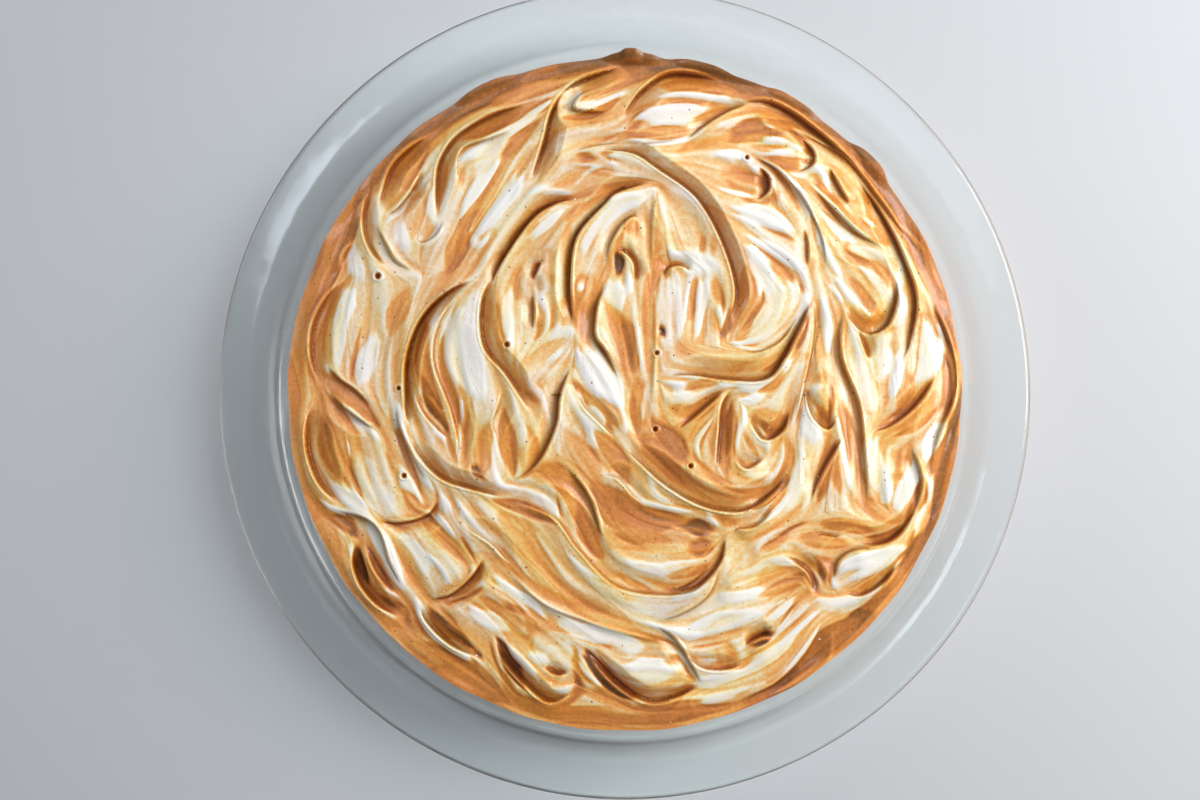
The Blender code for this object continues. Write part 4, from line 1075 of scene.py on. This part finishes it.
    def tone_sheet(self) -> np.ndarray:
        """Tone of the marbling, from streaks, dabs and the bands of the pulls, with painted shade at the
        feet and a painted highlight on the crests.
        """
        mix = self.marbling
        broad, middle, fine = (self.streaks[..., index] for index in range(3))
        across, up = self.raster.x / self.radius, self.raster.y / self.radius
        inwards = self.radius - np.hypot(self.raster.x, self.raster.y)
        rim_tone = mix.rim_tone(across, up)
        rim = ease((mix.rim[0] - inwards) / mix.rim[1])
        ragged = mix.ragged[0] * middle + mix.ragged[1] * fine
        tone = self.painted(mix.base * (1 - rim) + rim_tone * rim, DABS, ragged)
        tone = self.drag(tone[..., None], mix.blend)[..., 0]
        reach, width, most = mix.clean
        clean = most * ease((reach - inwards) / width)
        tone = tone * (1 - clean) + rim_tone * clean
        gain, spread, level = mix.contrast
        tone += (1 - clean) * gain * (self.raster.blur(tone, spread) - level)
        tone += (1 - clean) * (mix.streaks[0] * broad + mix.streaks[1] * middle + mix.streaks[2] * fine)
        cover = mix.cover * np.clip(self.band_cover, 0.0, 1.0)
        tone = tone * (1 - cover) + cover * self.band_tone / np.maximum(self.band_cover, 1e-6)
        gain, spread = mix.sharpen
        tone += gain * (tone - self.raster.blur(tone, spread))
        # painted shade: at the feet of steep edges the tone turns to orange pumpkin
        tone += mix.foot * self.foot * (Tone.ORANGE - tone)
        # painted highlight: crests are lightened towards a pale cream
        return tone + mix.crest * self.crest * (mix.crest_highlight_tone - tone)

    def painted_shade_sheet(self, spread: float = 1.4, level: float = 0.3, depth: float = 2.0,
                     most: float = 0.3) -> np.ndarray:
        """How much painted shade each place gets, from how far it lies below its surroundings and from the
        feet.

        Args:
            spread: spread of the surroundings that a place is measured against, in mm.
            level: how far below them a place still counts as level, in mm.
            depth: how much deeper the shade is full, in mm.
            most: how dark a low place is at most, apart from the feet.

        Returns:
            A sheet from 0, in the open, to 1, at the foot of a steep edge.
        """
        sunk = self.raster.blur(self.relief, spread) - self.relief
        return np.maximum(most * ease((sunk - level) / depth), self.foot)


def disc_from_square(x: np.ndarray, y: np.ndarray, radius: float) -> tuple[np.ndarray, np.ndarray]:
    """Where places in the square from -1 to 1 go on a disc of the given radius."""
    return radius * x * np.sqrt(1.0 - 0.5 * y * y), radius * y * np.sqrt(1.0 - 0.5 * x * x)


class NodeSketch:
    """A short way to add and join a material's nodes."""

    def __init__(self, name: str) -> None:
        """Start a material with an empty node tree."""
        self.material = bpy.data.materials.new(name)
        self.material.use_nodes = True
        self.tree = self.material.node_tree
        self.tree.nodes.clear()

    def add(self, kind: str, links: dict | None = None, **settings: object) -> bpy.types.Node:
        """Add a node.

        Args:
            kind: the node's type, without its ShaderNode prefix.
            links: what goes into each input, as a socket or a plain value.
            **settings: the node's own properties.

        Returns:
            The new node.
        """
        node = self.tree.nodes.new("ShaderNode" + kind)
        for name, value in settings.items():
            setattr(node, name, value)
        for name, value in (links or {}).items():
            if isinstance(value, bpy.types.NodeSocket):
                self.tree.links.new(value, node.inputs[name])
            else:
                node.inputs[name].default_value = value
        return node

    def math(self, operation: str, *values: object) -> bpy.types.NodeSocket:
        """Add a Math node and return its result."""
        return self.add("Math", dict(enumerate(values)), operation=operation).outputs[0]

    def noise(self, vector: object, scale: float, detail: float,
              roughness: float = 0.5) -> bpy.types.NodeSocket:
        """Add a noise and return its height."""
        return self.add("TexNoise", {"Vector": vector, "Scale": scale, "Detail": detail,
                                     "Roughness": roughness}).outputs["Fac"]

    def mix(self, share: object, under: object, over: object, blend: str = "MIX") -> bpy.types.NodeSocket:
        """Lay one colour over another.

        Args:
            share: how much of the upper colour shows.
            under: the lower colour.
            over: the upper colour.
            blend: how they are blended.

        Returns:
            The blended colour.
        """
        node = self.add("Mix", {0: share, 6: under, 7: over}, data_type="RGBA", blend_type=blend)
        return node.outputs[2]

    def ramp(self, factor: object, stops: Stops) -> bpy.types.NodeSocket:
        """Add a colour ramp.

        Args:
            factor: the socket that runs along the ramp.
            stops: position and colour of each stop, in order.

        Returns:
            The ramp's colour.
        """
        node = self.add("ValToRGB", {"Fac": factor})
        elements = node.color_ramp.elements
        while len(elements) < len(stops):
            elements.new(1.0)
        for element, (place, colour) in zip(elements, stops):
            element.position = place
            element.color = (*colour, 1.0)
        return node.outputs["Color"]

    def finish(self, surface: bpy.types.NodeSocket) -> bpy.types.Material:
        """Join the surface to the output and return the material."""
        self.add("OutputMaterial", {"Surface": surface})
        return self.material


def paint(red: int, green: int, blue: int) -> Colour:
    """A linear colour from its screen values, each above 10."""
    return tuple(((shade / 255.0 + 0.055) / 1.055) ** 2.4 for shade in (red, green, blue))


@dataclass(frozen=True)
class ClearGlass:
    """Pressed clear glass, faintly green, with the shadow of something clear."""

    tint: Colour = (0.945, 0.99, 0.98)
    shadow: Colour = (0.935, 0.975, 0.965)
    roughness: float = 0.11
    refraction: float = 1.48
    waviness: float = 0.12

    def material(self) -> bpy.types.Material:
        """Build the glass material."""
        sketch = NodeSketch("clear_glass")
        waves = sketch.noise(sketch.add("TexCoord").outputs["Object"], 70.0, 2.0)
        bump = sketch.add("Bump", {"Height": waves, "Strength": self.waviness, "Distance": 2.0 * MM})
        glass = sketch.add("BsdfPrincipled", {
            "Base Color": (*self.tint, 1.0), "Roughness": self.roughness, "IOR": self.refraction,
            "Transmission Weight": 1.0, "Normal": bump.outputs[0]})
        clear = sketch.add("BsdfTransparent", {"Color": (*self.shadow, 1.0)})
        rays = sketch.add("LightPath").outputs["Is Shadow Ray"]
        mixed = sketch.add("MixShader", {"Fac": rays, 1: glass.outputs[0], 2: clear.outputs[0]})
        return sketch.finish(mixed.outputs[0])


@dataclass(frozen=True)
class MarbledFilling:
    """Whipped pumpkin filling marbled with cream, moist, with specks of spice.

    Attributes:
        tones: colours from a deep brown that is painted shade, through pumpkin, to pure cream.
        hues: what a yellow, a plain and a rosy place are multiplied by; the yellow on the crests is a
            painted highlight.
        painted_shades: the painted shade that colours are multiplied by, from the open to the foot of a
            steep edge.
        spice: the two colours of speck.
        roughness: roughness of the surface.
        coat: weight and roughness of its moist coat.
        refraction: its index of refraction.
        bump: strength of the fine bumps.
    """

    tones: Stops = (
        (0.0, paint(100, 62, 28)), (0.16, paint(146, 92, 44)), (0.29, paint(202, 124, 58)),
        (0.385, paint(226, 146, 72)), (0.455, paint(238, 164, 84)), (0.5, paint(245, 182, 104)),
        (0.535, paint(244, 192, 122)), (0.58, paint(246, 206, 146)), (0.62, paint(249, 221, 172)),
        (0.68, paint(252, 236, 206)), (0.77, paint(252, 245, 232)), (1.0, paint(253, 250, 246)))
    hues: Stops = ((0.2, (1.0, 0.96, 0.7)), (0.5, (1.0, 1.0, 1.0)), (0.8, (0.94, 0.87, 0.93)))
    painted_shades: Stops = ((0.0, (1.0, 1.0, 1.0)), (0.35, (0.72, 0.65, 0.57)), (0.7, (0.43, 0.29, 0.145)),
                     (1.0, (0.19, 0.09, 0.016)))
    spice: Stops = ((0.88, paint(110, 60, 28)), (0.9, paint(255, 250, 240)))
    roughness: float = 0.36
    coat: tuple[float, float] = (0.4, 0.16)
    refraction: float = 1.42
    bump: float = 0.25

    def material(self) -> bpy.types.Material:
        """Build the filling's material from its tone, painted shade, grain and blush-and-highlight
        attributes.
        """
        sketch = NodeSketch("marbled_filling")
        coords = sketch.add("TexCoord").outputs["Object"]
        tone, painted_shade, grain, blush_and_highlight = (sketch.add("Attribute", attribute_name=look).outputs["Fac"]
                                      for look in ("tone", "painted_shade", "grain", "blush_and_highlight"))
        threads = sketch.add("TexNoise", {"W": sketch.math("MULTIPLY", grain, 1.3), "Scale": 1.0,
                                          "Detail": 3.0, "Roughness": 0.5}, noise_dimensions="1D")
        threads = sketch.math("SUBTRACT", threads.outputs["Fac"], 0.5)
        patches = sketch.math("MULTIPLY_ADD", sketch.noise(coords, 60.0, 2.0), 1.8, -0.3)
        streaked = sketch.math("ADD", tone, sketch.math("MULTIPLY", threads, patches))
        mottle = sketch.math("MULTIPLY_ADD", sketch.noise(coords, 800.0, 5.0, 0.7), 0.7, -0.35)
        place = sketch.math("MULTIPLY_ADD", sketch.math("ADD", streaked, mottle), 0.4, 0.4)
        purer = sketch.math("MULTIPLY_ADD", place, -2.5, 2.5)
        colour = sketch.mix(purer, sketch.ramp(place, self.tones), sketch.ramp(blush_and_highlight, self.hues), "MULTIPLY")
        # painted shade: colours are darkened in low places and at the feet of steep edges
        colour = sketch.mix(1.0, colour, sketch.ramp(painted_shade, self.painted_shades), "MULTIPLY")
        colour = self.spiced(sketch, coords, colour)
        fine = sketch.math("MULTIPLY", sketch.noise(coords, 1400.0, 4.0), 0.5)
        height = sketch.math("MULTIPLY_ADD", threads, 1.2, fine)
        bump = sketch.add("Bump", {"Height": height, "Strength": self.bump, "Distance": 0.8 * MM})
        shader = sketch.add("BsdfPrincipled", {
            "Base Color": colour, "Roughness": self.roughness, "IOR": self.refraction,
            "Coat Weight": self.coat[0], "Coat Roughness": self.coat[1], "Normal": bump.outputs[0]})
        return sketch.finish(shader.outputs[0])

    def spiced(self, sketch: NodeSketch, coords: object, colour: object) -> bpy.types.NodeSocket:
        """Scatter specks of spice, and a few of cream.

        Args:
            sketch: the material's nodes.
            coords: where the surface is, in metres.
            colour: the colour to scatter them on.

        Returns:
            The speckled colour.
        """
        dots = sketch.add("TexVoronoi", {"Vector": coords, "Scale": 200.0, "Randomness": 1.0},
                          voronoi_dimensions="2D")
        chance = sketch.add("SeparateColor", {"Color": dots.outputs["Color"]})
        size = sketch.math("MULTIPLY_ADD", chance.outputs[0], 0.14, -0.08)
        speck = sketch.math("MULTIPLY", sketch.math("LESS_THAN", dots.outputs["Distance"], size), 0.85)
        return sketch.mix(speck, colour, sketch.ramp(chance.outputs[1], self.spice))


@dataclass(frozen=True)
class PieDish:
    """The turned glass pie dish. All sizes are in mm.

    Attributes:
        rim_radius: radius of the flange's outer edge.
        height: height of the flange's crown.
        mouth_radius: radius where the inner wall meets the flange.
        floor: level of the inside floor.
        wall: thickness of the wall.
        flange: thickness of the flange.
        lean_deg: how far the wall leans outwards, in degrees.
        fall: how far the flange falls from its crown to its edges.
        floor_round: radius of the corner between the floor and the wall.
        mouth_round: radius of the corner at the mouth.
        crown_round: radius of the flange's crown.
        edge_round: radius of the outer edge, as a share of the flange's thickness.
        under_round: radius of the corner under the flange.
        foot_round: radius of the corner under the wall.
        steps: steps of the turn.
        corner_steps: steps in each rounded corner.
    """

    rim_radius: float
    height: float
    mouth_radius: float = 105.5
    floor: float = 5.0
    wall: float = 4.5
    flange: float = 3.8
    lean_deg: float = 37.0
    fall: float = 0.5
    floor_round: float = 9.0
    mouth_round: float = 2.5
    crown_round: float = 30.0
    edge_round: float = 0.48
    under_round: float = 14.0
    foot_round: float = 7.0
    steps: int = 256
    corner_steps: int = 10

    def wall_radius(self, height: float, offset: float = 0.0) -> float:
        """Radius of the inner wall at a height, moved outwards by offset mm."""
        lean = math.radians(self.lean_deg)
        drop = self.height - self.fall - height
        return self.mouth_radius - drop * math.tan(lean) + offset / math.cos(lean)

    def rounded(self, corners: list[tuple[float, float, float]]) -> list[Place]:
        """An outline with each of its corners made round.

        Args:
            corners: radius, height and rounding of each corner, in order.

        Returns:
            Places along the outline.
        """
        outline = []
        for index, (radius, height, rounding) in enumerate(corners):
            here = np.array((radius, height))
            if rounding == 0:
                outline.append(tuple(here))
                continue
            before = np.array(corners[index - 1][:2]) - here
            after = np.array(corners[index + 1][:2]) - here
            before /= np.linalg.norm(before)
            after /= np.linalg.norm(after)
            half = 0.5 * math.acos(float(np.clip(before @ after, -1.0, 1.0)))
            centre = here + (before + after) / np.linalg.norm(before + after) * rounding / math.sin(half)
            start = here + before * rounding / math.tan(half) - centre
            end = here + after * rounding / math.tan(half) - centre
            turn = math.atan2(start[0] * end[1] - start[1] * end[0], start @ end)
            for share in np.linspace(0.0, 1.0, self.corner_steps + 1):
                cos, sin = math.cos(share * turn), math.sin(share * turn)
                outline.append((centre[0] + start[0] * cos - start[1] * sin,
                                centre[1] + start[0] * sin + start[1] * cos))
        return outline

    def outline(self) -> list[Place]:
        """Half section of the dish, from the axis over the floor, wall and flange to the foot."""
        under = self.height - self.flange
        edge = self.edge_round * self.flange
        return self.rounded([
            (0.0, self.floor, 0),
            (self.wall_radius(self.floor), self.floor, self.floor_round),
            (self.mouth_radius, self.height - self.fall, self.mouth_round),
            (0.5 * (self.mouth_radius + self.rim_radius), self.height, self.crown_round),
            (self.rim_radius, self.height - self.fall, edge),
            (self.rim_radius, under, edge),
            (self.wall_radius(under, self.wall), under, self.under_round),
            (self.wall_radius(0.0, self.wall), 0.0, self.foot_round),
            (0.0, 0.0, 0),
        ])

    def build(self) -> bpy.types.Object:
        """Turn the half section into the dish and dress it in glass."""
        points = [(radius * MM, 0.0, height * MM) for radius, height in self.outline()]
        mesh = bpy.data.meshes.new("glass_pie_dish")
        mesh.from_pydata(points, [(i, i + 1) for i in range(len(points) - 1)], [])
        dish = bpy.data.objects.new("glass_pie_dish", mesh)
        bpy.context.scene.collection.objects.link(dish)
        turn = dish.modifiers.new("Turn", "SCREW")
        turn.axis = "Z"
        turn.steps = turn.render_steps = self.steps
        turn.use_merge_vertices = True
        turn.merge_threshold = 0.01 * MM
        turn.use_smooth_shade = True
        mesh.materials.append(ClearGlass().material())
        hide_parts("dish")
        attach(dish, "root")
        return dish


@dataclass(frozen=True)
class Filling:
    """The filling, from its worked top to the floor of the dish, as four quarters.

    All sizes are in mm.

    Attributes:
        dish: the dish it fills.
        edge_level: level of its plain edge.
        centre_level: level of its plain middle.
        top: the level that no peak passes.
        settle: width over which the relief dies away at the edge.
        reach: how far it goes into the glass, so that no air shows between them.
        ripple: height of the ripples in its edge.
        ripples: number of the edge's ripples each turn, and where they start in degrees.
        smear_from: share of the way out from which the edge's rises begin.
        cells: faces along each side of a quarter's top.
    """

    dish: PieDish
    edge_level: float = 32.3
    centre_level: float = 35.2
    top: float = 38.0
    settle: float = 3.0
    reach: float = 0.25
    ripple: float = 0.15
    ripples: tuple[tuple[float, float], ...] = ((17.0, 40.0), (29.0, 0.0))
    smear_from: float = 0.97
    cells: int = 288

    def level(self, swirl: Swirl, x: np.ndarray, y: np.ndarray) -> np.ndarray:
        """Height of the top at places.

        Args:
            swirl: the worked relief.
            x: the places' x.
            y: the places' y.

        Returns:
            Heights above the table.
        """
        out = np.hypot(x, y) / swirl.radius
        relief = swirl.raster.sample(swirl.relief, x, y) * ease((1.0 - out) * swirl.radius / self.settle)
        plain = self.edge_level + (self.centre_level - self.edge_level) * (1.0 - out ** 4)
        return np.minimum(plain + relief + self.smeared(x, y, out), self.top)

    def smeared(self, x: np.ndarray, y: np.ndarray, out: np.ndarray) -> np.ndarray:
        """How far the edge stands up the wall at places.

        Args:
            x: the places' x.
            y: the places' y.
            out: the places' share of the way from the middle to the edge.

        Returns:
            Heights above the plain edge.
        """
        angle = np.degrees(np.arctan2(y, x))
        height = sum(self.ripple * np.sin(np.radians(count * angle + start))
                     for count, start in self.ripples)
        for smear in SMEARS:
            height = height + smear.rise * np.exp(-((angle - smear.angle) / smear.half) ** 4)
        return height * ease((out - self.smear_from) / (1.0 - self.smear_from))

    def cage(self, name: str, corner: Place, rings: int) -> bpy.types.Mesh:
        """A square grid closed by rings of sides and a bottom, each ring one lower than the last.

        Args:
            name: the mesh's name.
            corner: middle of the grid, which is one unit wide.
            rings: how many rings of sides there are.

        Returns:
            The mesh, still square.
        """
        shape = bmesh.new()
        bmesh.ops.create_grid(shape, x_segments=self.cells, y_segments=self.cells, size=0.5,
                              matrix=Matrix.Translation((*corner, 0.0)))
        rim = [edge for edge in shape.edges if edge.is_boundary]
        for ring in range(rings):
            grown = bmesh.ops.extrude_edge_only(shape, edges=rim)["geom"]
            rim = [item for item in grown if isinstance(item, bmesh.types.BMEdge)]
            for vertex in {vertex for edge in rim for vertex in edge.verts}:
                vertex.co.z = -1.0 - ring
        bmesh.ops.holes_fill(shape, edges=rim, sides=0)
        bmesh.ops.recalc_face_normals(shape, faces=shape.faces)
        self.sort_faces(shape)
        mesh = bpy.data.meshes.new(name)
        shape.to_mesh(mesh)
        shape.free()
        return mesh

    @staticmethod
    def sort_faces(shape: bmesh.types.BMesh) -> None:
        """Sort faces by their last and then their first corner, so that each run gives the same mesh."""
        shape.verts.index_update()
        count = len(shape.verts)

        def rank(face: bmesh.types.BMFace) -> int:
            """The face's place in the order."""
            corners = [vertex.index for vertex in face.verts]
            return max(corners) * count + min(corners)

        shape.faces.sort(key=rank)

    def top_normals(self, swirl: Swirl, x: np.ndarray, y: np.ndarray) -> np.ndarray:
        """The way the top faces at places, one row each."""
        step = 0.5 * swirl.cell
        slope_x = (self.level(swirl, x + step, y) - self.level(swirl, x - step, y)) / (2.0 * step)
        slope_y = (self.level(swirl, x, y + step) - self.level(swirl, x, y - step)) / (2.0 * step)
        normals = np.stack([-slope_x, -slope_y, np.ones(x.shape)], axis=1)
        return normals / np.linalg.norm(normals, axis=1)[:, None]

    def sides(self, edge_radius: float) -> list[Place]:
        """Half section of the sides, from the top's edge to near the middle of the bottom."""
        bottom = self.dish.floor - self.reach
        return self.dish.rounded([
            (edge_radius, self.edge_level, 0),
            (self.dish.wall_radius(bottom, self.reach), bottom, self.dish.floor_round + self.reach),
            (0.0, bottom, 0),
        ])[:-1]

    def quarter(self, name: str, corner: Place, swirl: Swirl,
                looks: dict[str, np.ndarray]) -> bpy.types.Object:
        """Shape one quarter of the filling and store its marbling.

        Args:
            name: the piece's name.
            corner: the quarter's middle on a square two units wide.
            swirl: the worked top.
            looks: sheets of what the material reads, by name.

        Returns:
            The quarter.
        """
        sides = self.sides(swirl.radius)
        mesh = self.cage(name, corner, len(sides) - 1)
        places = np.zeros(3 * len(mesh.vertices), dtype=np.float32)
        mesh.vertices.foreach_get("co", places)
        places = places.reshape(-1, 3).astype(float)
        ring = np.round(-places[:, 2]).astype(int)
        x, y = disc_from_square(places[:, 0], places[:, 1], swirl.radius)
        z = self.level(swirl, x, y)
        normals = self.top_normals(swirl, x, y)
        for look, sheet in looks.items():
            layer = mesh.attributes.new(look, "FLOAT", "POINT")
            layer.data.foreach_set("value", swirl.raster.sample(sheet, x, y).astype(np.float32))
        rim = np.hypot(x, y) > swirl.radius * 0.9999
        fit = self.dish.wall_radius(z, self.reach) / np.hypot(x, y).clip(1.0)
        x, y = np.where(rim, x * fit, x), np.where(rim, y * fit, y)
        for index, ((above, high), (radius, height)) in enumerate(zip(sides, sides[1:]), start=1):
            here = ring == index
            steep = math.atan2(above - radius, high - height)
            away = np.stack([x[here], y[here]], axis=1) / np.hypot(x[here], y[here]).clip(1e-6)[:, None]
            normals[here] = np.column_stack([away * math.cos(steep), np.full(here.sum(), -math.sin(steep))])
            x[here], y[here], z[here] = away[:, 0] * radius, away[:, 1] * radius, height
        mesh.vertices.foreach_set("co", (np.stack([x, y, z], axis=1) * MM).ravel())
        mesh.shade_smooth()
        mesh.normals_split_custom_set_from_vertices(normals.tolist())
        piece = bpy.data.objects.new(name, mesh)
        bpy.context.scene.collection.objects.link(piece)
        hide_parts("filling")
        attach(piece, "root")
        return piece

    def build(self) -> list[bpy.types.Object]:
        """Work the top, shape the quarters and dress them alike."""
        swirl = Swirl(self.dish.wall_radius(self.edge_level, self.reach))
        # the second sheet is the painted shade of low places and feet
        looks = {"tone": swirl.tone, "painted_shade": swirl.painted_shade_sheet(), "grain": swirl.streaks[..., 0],
                 "blush_and_highlight": swirl.blush_and_highlight}
        corners = {"right_top": (0.5, 0.5), "left_top": (-0.5, 0.5),
                   "left_bottom": (-0.5, -0.5), "right_bottom": (0.5, -0.5)}
        pieces = [self.quarter(f"swirled_filling_{side}", corner, swirl, looks)
                  for side, corner in corners.items()]
        dressing = MarbledFilling().material()
        for piece in pieces:
            piece.data.materials.append(dressing)
        return pieces


@dataclass(frozen=True)
class SoftLamp:
    """A square soft light that points at the dish.

    Attributes:
        name: the light's name.
        place: where it stands, in metres.
        side: its side, in metres.
        power: its power, in watts.
        colour: its colour.
        through: whether it is seen through glass.
    """

    name: str
    place: tuple[float, float, float]
    side: float
    power: float
    colour: Colour
    through: bool = True

    def build(self) -> bpy.types.Object:
        """Set the light up."""
        data = bpy.data.lights.new(self.name, "AREA")
        data.size = self.side
        data.energy = self.power
        data.color = self.colour
        light = bpy.data.objects.new(self.name, data)
        light.location = self.place
        light.rotation_euler = (-Vector(self.place)).to_track_quat("-Z", "Y").to_euler()
        light.visible_transmission = self.through
        bpy.context.scene.collection.objects.link(light)
        return light


@dataclass(frozen=True)
class Studio:
    """A pale floor, soft studio light and a camera that looks straight down.

    Attributes:
        view_width: width of what the camera sees at the rim's level, in mm.
        centre_off: the camera's place from the middle of the dish, in mm.
        lens: the camera's lens, in mm.
        lamps: the soft lights.
        sky: colour of the room's own light.
        sky_strength: its strength.
    """

    view_width: float = 365.9
    centre_off: Place = (-7.57, -1.82)
    lens: float = 60.0
    lamps: tuple[SoftLamp, ...] = (
        SoftLamp("window_right", (0.62, 0.16, 0.5), 0.45, 5.9, (1.0, 0.99, 0.97), through=False),
        SoftLamp("window_top", (0.1, 0.5, 0.8), 0.8, 2.6, (0.88, 0.94, 1.0)),
        SoftLamp("window_left", (-0.9, 0.4, 0.3), 0.25, 1.2, (0.9, 0.96, 1.0)),
        SoftLamp("window_high", (-0.4, 0.26, 1.5), 0.22, 1.4, (0.8, 0.9, 1.0)),
    )
    sky: Colour = (0.95, 0.96, 1.0)
    sky_strength: float = 0.16

    @staticmethod
    def floor() -> bpy.types.Object:
        """The pale floor."""
        bpy.ops.mesh.primitive_plane_add(size=6.0, location=(0.0, 0.0, 0.0))
        floor = bpy.context.object
        floor.name = "pale_floor"
        sketch = NodeSketch("pale_floor")
        shader = sketch.add("BsdfPrincipled", {"Base Color": (*paint(206, 207, 211), 1.0), "Roughness": 0.7})
        floor.data.materials.append(sketch.finish(shader.outputs[0]))
        return floor

    def camera(self) -> bpy.types.Object:
        """The camera, straight above the dish."""
        data = bpy.data.cameras.new("above")
        data.lens = self.lens
        data.clip_end = 20.0
        camera = bpy.data.objects.new("above", data)
        height = self.view_width * self.lens / data.sensor_width + RIM_LEVEL
        camera.location = (self.centre_off[0] * MM, self.centre_off[1] * MM, height * MM)
        bpy.context.scene.collection.objects.link(camera)
        bpy.context.scene.camera = camera
        return camera

    def build(self) -> None:
        """Set the floor, lights, sky and camera."""
        self.floor()
        for lamp in self.lamps:
            lamp.build()
        world = bpy.data.worlds.new("soft_room")
        world.use_nodes = True
        background = world.node_tree.nodes["Background"]
        background.inputs["Color"].default_value = (*self.sky, 1.0)
        background.inputs["Strength"].default_value = self.sky_strength
        bpy.context.scene.world = world
        bpy.context.scene.view_settings.view_transform = "Standard"
        self.camera()


def main() -> None:
    """Build the pie's looks around the frame."""
    logging.basicConfig(level=logging.INFO, format="%(name)s: %(message)s")
    dish = PieDish(rim_radius=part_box("dish")[1][0] / MM, height=RIM_LEVEL)
    piece = dish.build()
    LOG.info("%s: %d outline points, turned in %d steps", piece.name, len(piece.data.vertices), dish.steps)
    for piece in Filling(dish).build():
        LOG.info("%s: %d faces", piece.name, len(piece.data.polygons))
    Studio().build()


if __name__ == "__main__":
    main()
